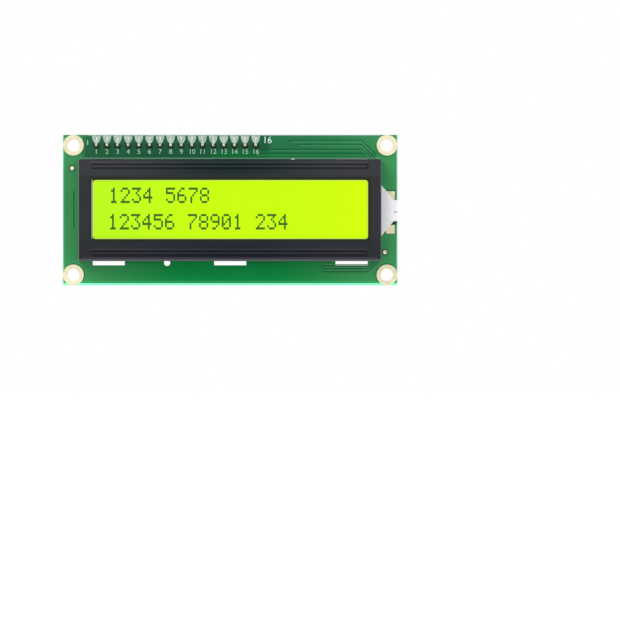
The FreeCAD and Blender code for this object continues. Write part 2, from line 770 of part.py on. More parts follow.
def dome(label, spot, diameter):
    """A drop of epoxy over a bare die: a spherical cap in two steps on the main board."""
    drop = new_body(label)
    section = side_view(drop, label + "_section")
    radius, rise = diameter / 2, s.blob_height
    shoulder = [(share, math.sqrt(1 - share ** 2)) for share in (1, 0.75)]
    polygon(section, [(0, BOARD_BACK)] + [(radius * out, BOARD_BACK + rise * up) for out, up in shoulder]
            + [(0, BOARD_BACK + rise)])
    revolve(drop, section)
    place(drop, spot[0], 0, spot[1])
    return keep(drop, label)


def chip(name, spot, base, length, width, height):
    """A ceramic chip: its body, and an end cap at each side of it."""
    x, z, lies_along_x = spot
    low, high = around(0, length)
    spans = ((low + s.chip_cap, high - s.chip_cap), (low, low + s.chip_cap), (high - s.chip_cap, high))
    solids = []
    for part, (start, end) in zip(("core", "cap_one", "cap_two"), spans):
        long_span = (start, end)
        side_span = around(0, width)
        x_span, z_span = (long_span, side_span) if lies_along_x else (side_span, long_span)
        solids.append(box("%s_%s" % (name, part), tuple(x + edge for edge in x_span),
                          (base, base + height), tuple(z + edge for edge in z_span)))
    return solids[0], solids[1:]


def chips(prefix, rows, base):
    """Rows of chips: each row is its places, whether they lie along X, and their length and width."""
    cores, caps = [], []
    for kind, (spots, lies_along_x, length, width) in enumerate(rows):
        for number, (x, z) in enumerate(spots):
            name = "%s_chip_%d_%d" % (prefix, kind, number)
            core, ends = chip(name, (x, z, lies_along_x), base, length, width, s.chip_height)
            cores.append(core)
            caps += ends
    gathered(prefix + "_chip_cores", cores)
    gathered(prefix + "_chip_caps", caps)


def flat_lands(label, spots, base, top):
    return gathered(label, [box("%s_%d" % (label, number), around(x, wide), (base, top), around(z, deep))
                            for number, ((x, z), wide, deep) in enumerate(spots, start=1)])


def main_board_trim():
    """Bare lands, lamp terminals and test dots of the main board."""
    spots = [(from_right(land[:2]), *land[2:]) for land in RIGHT_LANDS]
    spots += [(from_left(land[:2]), *land[2:]) for land in LEFT_LANDS]
    flat_lands("main_board_lands", spots, BOARD_BACK, STRIP_BASE)
    plates = [box("terminal_%d_%d" % (number, face), around(x, TERMINAL_SIDE), levels,
                  around(z, TERMINAL_SIDE))
              for number, (x, z) in enumerate(map(from_right, TERMINALS))
              for face, levels in enumerate(((-s.land_thickness, 0), (BOARD_BACK, STRIP_BASE)))]
    gathered("lamp_terminals", plates)
    dots = new_body("test_dots")
    outline = front_view(dots, "dot_outlines", BOARD_BACK)
    for x, z in map(from_right, TEST_DOTS):
        facets(outline, x, z, s.dot_diameter)
    drops = pad(dots, outline, s.dot_height)
    drops.Reversed = True
    drawn_in(dots, drops, BOARD_BACK)
    keep(dots, "test_dots")


def interface_board(pins):
    deck = new_body("interface_board_blank")
    outline = front_view(deck, "deck_outline", DECK_BACK)
    rectangle(outline, DECK_LEFT, DECK_RIGHT, DECK_TOP - s.deck_width, DECK_TOP)
    pad(deck, outline, s.deck_thickness)
    legs = front_view(deck, "deck_leg_holes", DECK_FRONT)
    for number in range(2):
        facets(legs, JUMPER_X, JUMPER_Z - number * s.pin_pitch, s.pin_hole)
    for x, z in trimmer_legs():
        facets(legs, x, z, s.pin_hole)
    pocket(deck, legs, s.deck_thickness)
    bus = front_view(deck, "deck_bus_hole", DECK_FRONT)
    facets(bus, BUS_X, BUS_Z, s.pin_hole)
    row_of(deck, [pocket(deck, bus, s.deck_thickness)], "Z_Axis", s.pin_pitch, s.bus_total, True)
    return keep(cut("interface_board_bored", deck, pins), "interface_board")


def trimmer_legs():
    """The three legs of the trimmer, in a triangle on the grid of the pin rows."""
    (x, z), pitch = on_deck((s.trimmer_along, s.trimmer_down)), s.pin_pitch
    return [(x - pitch, z + pitch), (x - pitch, z - pitch), (x + pitch, z)]


def trimmer():
    """A square single-turn trimmer: body on four feet, cross-slotted rotor in its well."""
    body = new_body("trimmer_body")
    base = DECK_BACK + s.trimmer_foot
    top = DECK_BACK + s.trimmer_height
    outline = front_view(body, "trimmer_outline", top)
    centred(outline, 0, 0, s.trimmer_side, s.trimmer_side)
    block = pad(body, outline, top - base)
    feet = front_view(body, "trimmer_feet", base)
    for x in (-1, 1):
        for z in (-1, 1):
            inset = (s.trimmer_side - s.trimmer_foot_side) / 2
            centred(feet, x * inset, z * inset, s.trimmer_foot_side, s.trimmer_foot_side)
    standing = pad(body, feet, s.trimmer_foot)
    doc.recompute()
    crown = top.value
    rim = edge_names(standing, lambda middle, along: abs(middle.y - crown) < 0.01)
    dress(body, "Chamfer", standing, rim, s.trimmer_chamfer)
    well = front_view(body, "rotor_well", top)
    circle(well, 0, 0, s.rotor_diameter + 2 * s.rotor_clearance)
    pocket(body, well, s.well_depth, towards_front=True)
    x, z = on_deck((s.trimmer_along, s.trimmer_down))
    place(body, x, 0, z)
    keep(body, "trimmer_body")
    rotor = new_body("trimmer_rotor")
    seat = top - s.well_depth + s.rotor_clearance
    disc = front_view(rotor, "rotor_disc", seat + s.rotor_height)
    circle(disc, 0, 0, s.rotor_diameter)
    pad(rotor, disc, s.rotor_height)
    cross = front_view(rotor, "driver_cross", seat + s.rotor_height)
    half, arm = s.driver_slot / 2, s.driver_span / 2
    polygon(cross, [(-half, -arm), (half, -arm), (half, -half), (arm, -half), (arm, half), (half, half),
                    (half, arm), (-half, arm), (-half, half), (-arm, half), (-arm, -half), (-half, -half)])
    pocket(rotor, cross, s.driver_depth, towards_front=True)
    place(rotor, x, 0, z)
    keep(rotor, "trimmer_rotor")
    gathered("trimmer_pins", [
        box("trimmer_pin_%d" % number, around(x, s.trimmer_pin), (DECK_FRONT - s.trimmer_pin_tail, base),
            around(z, s.trimmer_pin))
        for number, (x, z) in enumerate(trimmer_legs(), start=1)])


def expander_package():
    """Sixteen-lead small-outline package with drafted sides and gull-wing leads."""
    package = new_body("expander_body")
    parting = DECK_BACK + s.package_standoff + s.package_height / 2
    outline = front_view(package, "package_parting", parting)
    centred(outline, 0, 0, s.package_width, s.package_length)
    half = s.package_height / 2
    for towards_front in (True, False):
        moulding = pad(package, outline, half)
        moulding.Reversed = not towards_front
        bind(moulding, "TaperAngle", -s.package_draft)
    x, z = on_deck((s.package_along, s.package_down))
    place(package, x, 0, z)
    keep(package, "expander_body")
    leads = new_body("expander_leads")
    profile = side_view(leads, "gull_wing", -(s.lead_count - 1) * s.lead_pitch / 2)
    root = s.package_width / 2
    knee, toe, heel = root + s.lead_shoulder, s.lead_span / 2, s.lead_span / 2 - s.lead_foot
    low, high, gauge = DECK_BACK, parting - s.lead_gauge / 2, s.lead_gauge
    corners = [(root, high), (knee, high), (heel, low), (toe, low), (toe, low + gauge),
               (heel + gauge * 0.6, low + gauge), (knee + gauge * 0.6, high + gauge), (root, high + gauge)]
    polygon(profile, corners)
    polygon(profile, [(-x, y) for x, y in corners])
    pair = pad(leads, profile, s.lead_width, midplane=True)
    row_of(leads, [pair], "Z_Axis", s.lead_pitch, s.lead_count)
    place(leads, x, 0, z)
    keep(leads, "expander_leads")


def transistor():
    """A three-lead regulator with stepped leads."""
    base = DECK_BACK + s.package_standoff
    x, z = on_deck((s.sot_along, s.sot_down))
    keep(box("transistor_body", around(x, s.sot_length), (base, base + s.sot_height),
             around(z, s.sot_width)), "transistor_body")
    legs = new_body("transistor_leads")
    reach = s.sot_width / 2 + s.lead_shoulder
    feet = front_view(legs, "transistor_feet", DECK_BACK + s.lead_gauge)
    root = s.sot_width / 2
    third = s.sot_length / 3
    for side in (-third, third):
        rectangle(feet, *around(side, s.lead_width), -reach - s.lead_gauge, -root)
    rectangle(feet, *around(0, s.lead_width), root, reach + s.lead_gauge)
    pad(legs, feet, s.lead_gauge)
    stems = front_view(legs, "transistor_stems", DECK_BACK + s.sot_height / 2)
    for side in (-third, third):
        rectangle(stems, *around(side, s.lead_width), -root - s.lead_gauge, -root)
    rectangle(stems, *around(0, s.lead_width), root, root + s.lead_gauge)
    pad(legs, stems, s.sot_height / 2)
    place(legs, x, 0, z)
    keep(legs, "transistor_leads")


def indicator_lamps():
    """The two surface-mount lamps: a pale lens over each pair of end caps."""
    cores, caps = [], []
    for name, spot in (("signal", SIGNAL_LAMP), ("power", POWER_LAMP)):
        core, ends = chip(name + "_lamp", (*on_deck(spot), False), DECK_BACK, s.deck_chip_length,
                          s.deck_chip_width, s.lamp_chip_height)
        cores.append(keep(core, name + "_lamp"))
        caps += ends
    gathered("lamp_caps", caps)


def bent_pins(label, x, top_z, reach, count, outward):
    """Square pins that rise through a moulded block and bend flat towards the board's end."""
    pins = new_body(label)
    profile = side_view(pins, label + "_profile")
    half = s.pin_side / 2
    foot = DECK_FRONT - s.leg_tail
    polygon(profile, [(-half, foot), (half, foot), (half, ARM_LEVEL - half), (reach, ARM_LEVEL - half),
                      (reach, ARM_LEVEL + half), (-half, ARM_LEVEL + half)])
    bar = pad(pins, profile, s.pin_side, midplane=True)
    doc.recompute()
    for inner, leg in ((True, s.bend_radius), (False, s.bend_radius + s.pin_side / 2)):
        spot = half.value if inner else -half.value
        level = ARM_LEVEL.value + (-half.value if inner else half.value)
        names = edge_names(bar, lambda middle, along: abs(along.z) > 0.99
                           and abs(middle.x - spot) < 0.01 and abs(middle.y - level) < 0.01)
        bar = dress(pins, "Chamfer", bar, names, leg)
        doc.recompute()
    if outward < 0:
        pins.Placement.Rotation = FreeCAD.Rotation(FreeCAD.Vector(0, 1, 0), 180)
    row = row_of(pins, [bar], "Z_Axis", s.pin_pitch, count, outward > 0)
    row.TransformMode = "Whole shape"
    place(pins, x, 0, top_z)
    return keep(pins, label)


def header_block(label, x, top_z, count, pins):
    """Moulded header body standing on the interface board, one chamfered cell to a pin."""
    block = new_body(label + "_blank")
    half, corner = s.pin_pitch / 2, s.pin_pitch / 2 - s.strip_chamfer
    outline = front_view(block, label + "_cell", DECK_BACK + s.pin_pitch)
    polygon(outline, [(-half, -corner), (-corner, -half), (corner, -half), (half, -corner),
                      (half, corner), (corner, half), (-corner, half), (-half, corner)])
    row_of(block, [pad(block, outline, s.pin_pitch)], "Z_Axis", s.pin_pitch, count, True)
    place(block, x, 0, top_z)
    return keep(cut(label + "_bored", block, pins), label)


def jumper():
    """A shorting jumper on the two-pin header: moulded cap and the spring contact in it."""
    cap = new_body("jumper_cap")
    mouth = JUMPER_X + s.cap_gap
    middle = JUMPER_Z - s.pin_pitch / 2
    outline = front_view(cap, "cap_outline", ARM_LEVEL + s.cap_height / 2)
    rectangle(outline, 0, s.cap_length, *around(0, s.cap_width))
    block = pad(cap, outline, s.cap_height)
    doc.recompute()
    long_edges = edge_names(block, lambda spot, along: abs(along.x) > 0.99)
    dress(cap, "Chamfer", block, long_edges, s.trimmer_chamfer)
    channel = drawing(cap, "cap_channel", "YZ_Plane", 0)
    width = s.pin_pitch + s.cap_bore + 2 * s.contact_gauge
    depth = s.cap_bore + 2 * s.contact_gauge
    centred(channel, ARM_LEVEL, 0, depth, width)
    bore = pocket(cap, channel, s.cap_bore_depth)
    bore.Reversed = True
    port = front_view(cap, "cap_viewport", ARM_LEVEL + s.cap_height / 2)
    rectangle(port, s.cap_bore_depth - s.viewport_length, s.cap_bore_depth,
              *around(0, s.viewport_width))
    pocket(cap, port, (s.cap_height - depth) / 2, towards_front=True)
    place(cap, mouth, 0, middle)
    keep(cap, "jumper_cap")
    contact = new_body("jumper_contact")
    shell = drawing(contact, "contact_sleeve", "YZ_Plane", s.viewport_inset)
    centred(shell, ARM_LEVEL, 0, depth, width)
    pad(contact, shell, s.cap_bore_depth - s.viewport_inset)
    hollow = drawing(contact, "contact_bore", "YZ_Plane", s.viewport_inset)
    centred(hollow, ARM_LEVEL, 0, s.cap_bore, s.pin_pitch + s.cap_bore)
    way = pocket(contact, hollow, s.cap_bore_depth - s.viewport_inset - s.contact_gauge)
    way.Reversed = True
    place(contact, mouth, 0, middle)
    keep(contact, "jumper_contact")


def build():
    pins = header_pins()
    main_board(pins)
    mounting_eyelets()
    header_lands(pins)
    header_joints("front_joints", -s.land_thickness, True, pins)
    header_strip(pins)
    interface_board(pins)
    header_joints("back_joints", DECK_BACK, False, pins)
    bezel()
    display_stack()
    backlight_housing()
    backlight_lamp()
    dome("controller_blob", from_left(BLOB_ONE), s.blob_one_diameter)
    dome("driver_blob", from_right(BLOB_TWO), s.blob_two_diameter)
    chips("main", [(list(map(from_left, LEFT_CHIPS)), True, s.chip_length, s.chip_width),
                   ([from_right(LARGE_CHIP)], True, s.large_chip_length, s.large_chip_width)],
          BOARD_BACK)
    main_board_trim()
    chips("deck", [(list(map(on_deck, UPRIGHT_CHIPS)), False, s.deck_chip_length, s.deck_chip_width),
                   (list(map(on_deck, LEVEL_CHIPS)), True, s.deck_chip_length, s.deck_chip_width)],
          DECK_BACK)
    flat_lands("bridge_lands", [(on_deck(land[:2]), *land[2:]) for land in BRIDGE_LANDS], DECK_BACK,
               DECK_BACK + s.land_thickness)
    trimmer()
    expander_package()
    transistor()
    indicator_lamps()
    bus = bent_pins("bus_pins", BUS_X, BUS_Z, s.bus_reach, s.bus_total, -1)
    header_block("bus_block", BUS_X, BUS_Z, s.bus_total, bus)
    posts = bent_pins("jumper_pins", JUMPER_X, JUMPER_Z, s.jumper_reach, 2, 1)
    header_block("jumper_block", JUMPER_X, JUMPER_Z, 2, posts)
    jumper()


def write_parts():
    doc.recompute()
    for thing in doc.Objects:
        if "Invalid" in thing.State or "Error" in thing.State:
            raise RuntimeError("%s did not recompute" % thing.Label)
    os.makedirs("parts", exist_ok=True)
    for node in NODES:
        if node.Shape.isNull() or not node.Shape.isValid():
            raise RuntimeError("%s has no valid shape" % node.Label)
        node.Shape.exportStep("parts/%s.step" % node.Label)


build()
write_parts()
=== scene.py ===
"""Finish and fine detail of a character display module that carries a bus interface board.

Sizes are in millimetres until a mesh is placed. x runs along the module, z upwards, and the display
faces -y. A place on a board face is written (across, down): the distance from the board's left
end, as seen from the display side, and the distance below its top edge.
"""
import json
import math
import random
from collections import namedtuple

import bmesh
import bpy
from mathutils import Matrix, Vector


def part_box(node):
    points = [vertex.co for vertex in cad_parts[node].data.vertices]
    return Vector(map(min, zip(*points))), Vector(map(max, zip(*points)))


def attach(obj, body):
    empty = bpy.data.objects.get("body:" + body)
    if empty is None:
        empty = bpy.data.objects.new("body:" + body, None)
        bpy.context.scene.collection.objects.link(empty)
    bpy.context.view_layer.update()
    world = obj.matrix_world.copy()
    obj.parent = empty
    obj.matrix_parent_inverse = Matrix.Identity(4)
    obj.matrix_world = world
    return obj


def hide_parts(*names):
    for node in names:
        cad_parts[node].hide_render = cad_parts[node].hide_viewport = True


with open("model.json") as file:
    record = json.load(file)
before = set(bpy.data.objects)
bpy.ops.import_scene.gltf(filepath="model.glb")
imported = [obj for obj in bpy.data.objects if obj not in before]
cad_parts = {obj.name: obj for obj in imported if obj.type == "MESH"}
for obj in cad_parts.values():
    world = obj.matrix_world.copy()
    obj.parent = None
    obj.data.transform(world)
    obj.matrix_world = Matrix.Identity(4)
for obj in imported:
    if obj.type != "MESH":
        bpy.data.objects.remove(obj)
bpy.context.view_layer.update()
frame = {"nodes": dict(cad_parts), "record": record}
nodes = frame["nodes"]
SLOT_OF_NODE = {part["node"]: part["material_slot"] for part in frame["record"]["subparts"]}

MM = 0.001
SCALE = Matrix.Scale(MM, 4)
# local z points out of the face, and local x and y run as they do for someone who looks at it
FACING = {"front": Matrix(((1, 0, 0, 0), (0, 0, -1, 0), (0, 1, 0, 0), (0, 0, 0, 1))),
          "back": Matrix(((-1, 0, 0, 0), (0, 0, 1, 0), (0, 1, 0, 0), (0, 0, 0, 1)))}
Face = namedtuple("Face", "side level slot")


def edges_of(node):
    """The spans of a CAD node along x, y and z."""
    low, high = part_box(node)
    return [(low[axis] / MM, high[axis] / MM) for axis in range(3)]


def middle(span):
    """Halfway between two ends."""
    return sum(span) / 2


def face_of(node, side):
    """The front or back face of a CAD node, with the material slot for what is put on it."""
    front, back = edges_of(node)[1]
    return Face(side, front if side == "front" else back, SLOT_OF_NODE[node])


BOARD_X, BOARD_Y, BOARD_Z = edges_of("main_board")
DECK_X, _, DECK_Z = edges_of("interface_board")
FRONT, BACK = face_of("main_board", "front"), face_of("main_board", "back")
DECK = face_of("interface_board", "back")
EAR = Face("front", -2.0, "pin_metal")
PIN_WIDTH, PIN_PITCH, PIN_COUNT = 0.64, 2.54, 16
PIN_X = [edges_of("header_pins")[0][0] + PIN_WIDTH / 2 + PIN_PITCH * number for number in range(PIN_COUNT)]
PIN_Z = middle(edges_of("header_pins")[2])
# the lit part of the window, as two spans along x and z
LIT_X, LIT_Z = (BOARD_X[0] + 7.4, BOARD_X[0] + 72.94), (BOARD_Z[1] - 25.0, BOARD_Z[1] - 10.93)
# places (across, down) of parts that are drawn and soldered in several steps
LEVEL_CHIPS = [(across, 17.9) for across in (27.3, 31.9, 36.5)]
UPRIGHT_CHIPS = [(across, 13.2) for across in (35.3, 37.9, 40.6)]
TALL_CHIP = (38.4, 8.05)
TEST_DOTS = [(across, 12.5) for across in (66.6, 69.2, 71.6)]
CAPACITORS_DOWN = (20.9, 24.45)


def on_board(across, down):
    """x and z of a place that is written across and down the board."""
    return BOARD_X[0] + across, BOARD_Z[1] - down


# ---- shading


def paint(colour, lift=0):
    """The linear colour that a shader takes, from a screen colour whose channels are lifted a little."""
    shares = [(int(colour[start:start + 2], 16) + lift) / 255 for start in (1, 3, 5)]
    return tuple(share / 12.92 if share <= 0.04045 else ((share + 0.055) / 1.055) ** 2.4
                 for share in shares)


def maths(operation, swapped=False):
    """A method that passes its signal through a maths node."""
    def act(self, other=None):
        pair = [self] if other is None else [other, self] if swapped else [self, other]
        return self.shade.node("Math", {"operation": operation}, pair)
    return act


class Signal:
    """A socket's output that takes plain arithmetic."""

    def __init__(self, shade, socket):
        self.shade, self.socket = shade, socket

    __add__ = __radd__ = maths("ADD")
    __sub__ = maths("SUBTRACT")
    __rsub__ = maths("SUBTRACT", swapped=True)
    __mul__ = __rmul__ = maths("MULTIPLY")
    __truediv__ = maths("DIVIDE")
    __gt__ = maths("GREATER_THAN")
    __lt__ = maths("LESS_THAN")
    __abs__ = maths("ABSOLUTE")
    most = maths("MAXIMUM")
    least = maths("MINIMUM")

    def between(self, low, high):
        """From 0 at low to 1 at high, with a soft start and end."""
        return self.shade.node("MapRange", {"interpolation_type": "SMOOTHSTEP"},
                               {"Value": self, "From Min": low, "From Max": high})


class Shade:
    """One material in the making, or the world."""

    def __init__(self, name, world=False):
        self.owner = (bpy.data.worlds if world else bpy.data.materials).new(name)
        self.owner.use_nodes = True
        self.tree = self.owner.node_tree
        self.tree.nodes.clear()
        self.spot = self.node("TexCoord", output="Object")
        axes = [self.node("SeparateXYZ", {}, [self.spot], output=axis) for axis in "XYZ"]
        self.x, self.y, self.z = [axis / MM for axis in axes]

    def node(self, kind, settings=None, inputs=(), output=0):
        """Adds a node, its inputs by number or name: a signal is linked, any other value set."""
        made = self.tree.nodes.new("ShaderNode" + kind)
        for setting, value in (settings or {}).items():
            setattr(made, setting, value)
        for key, value in inputs.items() if isinstance(inputs, dict) else enumerate(inputs):
            if isinstance(value, Signal):
                self.tree.links.new(value.socket, made.inputs[key])
            elif value is not None:
                made.inputs[key].default_value = value
        return Signal(self, made.outputs[output]) if made.outputs else None

    def noise(self, per_mm, detail=2.0, stretch=(1, 1, 1)):
        """Cloudy variation from 0 to 1, with so many clouds per millimetre."""
        stretched = self.node("Mapping", {}, {"Vector": self.spot, "Scale": stretch})
        return self.node("TexNoise", {}, {"Vector": stretched, "Scale": per_mm / MM, "Detail": detail},
                         output="Fac")

    def blend(self, first, second, share):
        """The first colour where the share is 0 and the second where it is 1."""
        colours = [(*paint(colour), 1) if isinstance(colour, str) else colour
                   for colour in (first, second)]
        return self.node("Mix", {"data_type": "RGBA"}, {0: share, 6: colours[0], 7: colours[1]}, output=2)

    def layered(self, base, *layers):
        """A colour under layers of (colour, share)."""
        for colour, share in layers:
            base = self.blend(base, colour, share)
        return base

    def bump(self, height, depth):
        """A normal raised by a height from 0 to 1, over a depth in millimetres."""
        return self.node("Bump", {}, {"Height": height, "Distance": depth * MM, "Strength": 1.0})

    def finish(self, colour, roughness, normal=None, **others):
        """Closes the material. Other inputs of the surface go by their names in small letters."""
        inputs = {"Base Color": colour, "Roughness": roughness, "Normal": normal}
        full_names = {"ior": "IOR", "specular": "Specular IOR Level"}
        inputs.update({full_names.get(name, name.replace("_", " ").title()): value
                       for name, value in others.items()})
        surface = self.node("BsdfPrincipled", {}, inputs)
        self.node("OutputMaterial", {}, [surface])
        return self.owner


def within(signal, low, high, soft=0.02):
    """1 between two values and 0 beyond them."""
    return signal.between(low - soft, low + soft) * (1 - signal.between(high - soft, high + soft))


def from_outline(shade, span_x, span_z):
    """How far a place lies inside a rectangle, in millimetres."""
    sides = [(span[1] - span[0]) / 2 - abs(axis - middle(span))
             for axis, span in ((shade.x, span_x), (shade.z, span_z))]
    return sides[0].least(sides[1])


def green_mask():
    """Green lacquer: brighter towards the board's ends, with a pale cut edge that shows round it."""
    shade = Shade("green_lacquer")
    clouds, speckle = shade.noise(0.06, 3.0), shade.noise(6.0)
    x, z = shade.x, shade.z
    below = 0 - z
    ends = (abs(x / BOARD_X[1]).between(0.25, 0.95) * (0.7 + 0.6 * clouds)).least(1.0)
    under_pins = within(x, -35.0, 9.4, 1.0) * within(z, 12.4, 17.7, 0.5)
    beside_bezel = within(x, -4.0, 34.0, 2.0) * within(z, 12.6, 14.2, 0.3)
    front = shade.layered(
        "#007c3a",
        ("#388850", ends),
        ("#286846", z.between(11.0, 14.0) * (1 - 0.6 * ends) * 0.8),
        ("#164e34", under_pins * 0.75),
        ("#007436", beside_bezel * 0.7),
        ("#349e5c", within(z, -17.5, -16.9, 0.15) * 0.5),
        ("#60c48a", 1 - (x - BOARD_X[0]).between(0.1, 0.4)))
    weathered = (within(x, -8.0, 4.0, 2.0) * within(z, -9.5, -3.0, 1.5)
                 * shade.noise(2.2, 1.0).between(0.5, 0.6))
    rear = shade.layered(
        "#005c34",
        ("#22764a", below.between(2.0, 16.0) * 0.75),
        ("#5c9268", (0 - x / BOARD_X[1]).between(0.84, 0.98) * 0.8),
        ("#146e42", clouds.between(0.45, 0.7) * 0.4),
        ("#0a4832", weathered * 0.35),
        ("#58be82", within(z, -17.45, -17.15, 0.05) * 0.8),
        ("#96deba", below.between(17.55, 17.75) * 0.9))
    rim = below.between(-BOARD_Z[0] - 0.56, -BOARD_Z[0] - 0.46)
    right_edge = x.between(BOARD_X[1] - 0.3, BOARD_X[1] - 0.2) * (1 - rim)
    faces = shade.layered(
        shade.blend(front, rear, shade.y > middle(BOARD_Y)),
        ("#00542c", speckle.between(0.55, 0.8) * 0.2),
        ("#88f6cc", rim * (shade.y < 0.01) * 0.95),
        ("#6cba94", right_edge * 0.8))
    weave = shade.noise(2.0, 2.0, (1, 6, 1))
    edge = shade.blend("#88c498", "#549668", weave.between(0.35, 0.7) * 0.8)
    cut = from_outline(shade, BOARD_X, BOARD_Z) < 0.02
    return shade.finish(shade.blend(faces, edge, cut), 0.36 + 0.3 * cut + 0.1 * clouds,
                        shade.bump(speckle * 0.5 + shade.noise(0.8) * 0.5, 0.01), specular=0.07)


def black_mask():
    """Black lacquer with a violet cast, darker round the header and pale in a thin band along the edge."""
    shade = Shade("black_lacquer")
    clouds, speckle = shade.noise(0.08, 3.0), shade.noise(6.0)
    green_cast = within(shade.x, -39.0, -30.0, 1.5) * (1 - (shade.z - DECK_Z[0]).between(2.0, 4.6))
    inside = from_outline(shade, DECK_X, DECK_Z)
    face = shade.layered(
        "#22222a",
        ("#2c2b37", clouds.between(0.35, 0.7)),
        ("#14141c", speckle.between(0.55, 0.8) * 0.35),
        ("#0c0c0e", within(shade.z, 14.4, 17.0, 0.1) * 0.9),
        ("#262e2c", green_cast * 0.8),
        ("#707476", (1 - inside.between(0.16, 0.26)) * (shade.z < 16.0)))
    edge = shade.blend("#7e8770", "#545a4e", shade.noise(2.0, 2.0, (1, 6, 1)))
    cut = inside < 0.02
    return shade.finish(shade.blend(face, edge, cut), 0.36 + 0.3 * cut + 0.1 * clouds,
                        shade.bump(speckle, 0.01), specular=0.1)


def bezel_paint(name="bezel_paint", lift=0):
    """Satin black paint on folded steel: painted grey highlights on folds, painted olive glow at the window.
    """
    shade = Shade(name)
    x, z = shade.x, shade.z
    left, right, bottom, bottom_ends, top, top_ends = [
        (*paint(tone, lift), 1)
        for tone in ("#262a2b", "#2a2a2e", "#161924", "#22232a", "#142224", "#303135")]
    ends = abs(x).between(2.0, 30.0)
    span_x, _, span_z = edges_of("bezel")
    fold_highlight = (0 - z).between(-span_z[0] - 0.55, -span_z[0] - 0.45)
    reach = (span_x[1] - span_x[0]) / 2
    side = abs(x - middle(span_x)).between(reach - 0.22, reach - 0.14)
    film_glow = (0 - from_outline(shade, LIT_X, LIT_Z)).between(0.3, 1.0)
    mottle = shade.noise(1.6, 3.0)
    colour = shade.layered(
        left,
        (right, (x / BOARD_X[1]).between(-0.8, 1.0)),
        (shade.blend(bottom, bottom_ends, ends), (0 - z).between(6.6, 8.0) * 0.8),
        (shade.blend(top, top_ends, ends), z.between(7.4, 8.8) * 0.9),
        # painted highlights in grey, on the lower edge of the steel and on its side walls
        ("#505054", fold_highlight * 0.9),
        ("#686a74", side * 0.55),
        # painted olive glow of the lit film, in a band round the window
        ("#1a2408", (1 - film_glow) * 0.85),
        ("#423226", (shade.y > -1.6) * 0.9),
        ("#3a3a3e", mottle.between(0.58, 0.8) * 0.25))
    return shade.finish(colour, 0.42 + 0.14 * mottle, shade.bump(shade.noise(9.0, 2.0), 0.008),
                        specular=0.07)


def lit_film():
    """The display's film over its yellow-green lamp, deeper towards the left and pale at its rim."""
    shade = Shade("lit_film")
    along = shade.x / BOARD_X[1]
    grain = shade.noise(3.0, 2.0)
    colour = shade.layered(
        "#b6f01e",
        ("#c2fa0e", along.between(-0.85, 0.0)),
        ("#ccfb08", along.between(0.3, 0.85)),
        ("#d8ec78", 1 - from_outline(shade, LIT_X, LIT_Z).between(0.08, 0.24)),
        ("#bef008", grain.between(0.5, 0.8) * 0.1))
    return shade.finish(shade.blend(colour, "#000000", 0.5), 0.5 + 0.1 * grain,
                        emission_color=colour, emission_strength=0.4, specular=0.03)


def clear_plate(name, tint):
    """Glass or acrylic with a faint tint."""
    shade = Shade(name)
    colour = shade.blend(tint, "#ebf5f0", shade.noise(0.2).between(0.3, 0.8))
    return shade.finish(colour, 0.06 + 0.05 * shade.noise(0.6), transmission_weight=0.9, ior=1.5)


def film_rim():
    """The display glass's dark rim of painted shade, with a grey strip of painted highlight at its left end.
    """
    shade = Shade("film_rim")
    wear = shade.noise(3.0)
    # the dark olive rim is painted shade, where the bezel's window edge shades the glass
    olive = shade.blend("#2c3c06", "#1e2a08", wear)
    # the grey strip is a painted highlight, where the bezel's inner edge catches light
    colour = shade.blend(olive, "#969a8c", within(shade.x, LIT_X[0] - 0.36, LIT_X[0] - 0.05))
    return shade.finish(colour, 0.4 + 0.1 * wear, specular=0.1)


def moulding(name, colour, dark, rough, grain=4.0, specular=0.2, glow=0.0):
    """Moulded plastic or rubber with a fine grain; a glow, where given, is painted light against shade."""
    shade = Shade(name)
    clouds, fine = shade.noise(0.35, 3.0), shade.noise(grain, 2.0)
    toned = shade.layered(
        colour,
        (dark, clouds.between(0.35, 0.75) * 0.45),
        (dark, fine.between(0.55, 0.8) * 0.3))
    return shade.finish(toned, rough + 0.12 * fine, shade.bump(fine, 0.008), specular=specular,
                        emission_color=toned, emission_strength=glow)


def housing():
    """White moulding whose back, seen through the slots, is cream, and wine-dark painted shade under the
    wall.
    """
    shade = Shade("white_moulding")
    fine = shade.noise(4.0)
    white = shade.blend("#e0e1e3", "#d6d7db", shade.noise(0.5, 3.0).between(0.4, 0.8))
    cream = shade.blend("#fff4de", "#ffecd0", fine.between(0.4, 0.8) * 0.6)
    # painted shade, wine-dark, under the bezel's upper wall
    under = within(shade.z, 10.2, 11.9, 0.12)
    cream = shade.blend(cream, "#70464c", under)
    back = (abs(shade.x) < 36.2) * (shade.y > -2.0)
    colour = shade.blend(white, cream, back)
    # cream glow: partly lamplight through the moulding, partly painted light against the slots' shade
    return shade.finish(colour, 0.45 + 0.12 * fine, shade.bump(fine, 0.01), specular=0.3,
                        emission_color=shade.blend("#000000", cream, back * (1 - under)),
                        emission_strength=0.16)


def metal(name, colour, dark, rough, grain=1.5, bump=0.02):
    """Bare or tinned metal with a drifting tint and soft dents."""
    shade = Shade(name)
    clouds, fine = shade.noise(grain, 3.0), shade.noise(8.0, 2.0)
    toned = shade.blend(colour, dark, clouds.between(0.4, 0.75))
    return shade.finish(toned, rough + 0.15 * fine, shade.bump(clouds * 0.7 + fine * 0.3, bump),
                        metallic=0.85)


def trimmer_paint():
    """Blue moulded plastic, deeper towards one side and along its lower edge."""
    shade = Shade("trimmer_blue_body")
    (x0, x1), _, (z0, _) = edges_of("trimmer_body")
    clouds, fine = shade.noise(0.4, 3.0), shade.noise(4.0)
    across = (shade.x - x0) / (x1 - x0)
    colour = shade.layered(
        "#244484",
        ("#0c4e96", across.between(0.1, 0.8)),
        ("#183a80", clouds.between(0.45, 0.75) * 0.5),
        ("#0e2864", 1 - (shade.z - z0).between(0.3, 0.6)))
    return shade.finish(colour, 0.32 + 0.12 * fine, shade.bump(fine, 0.008), specular=0.15)


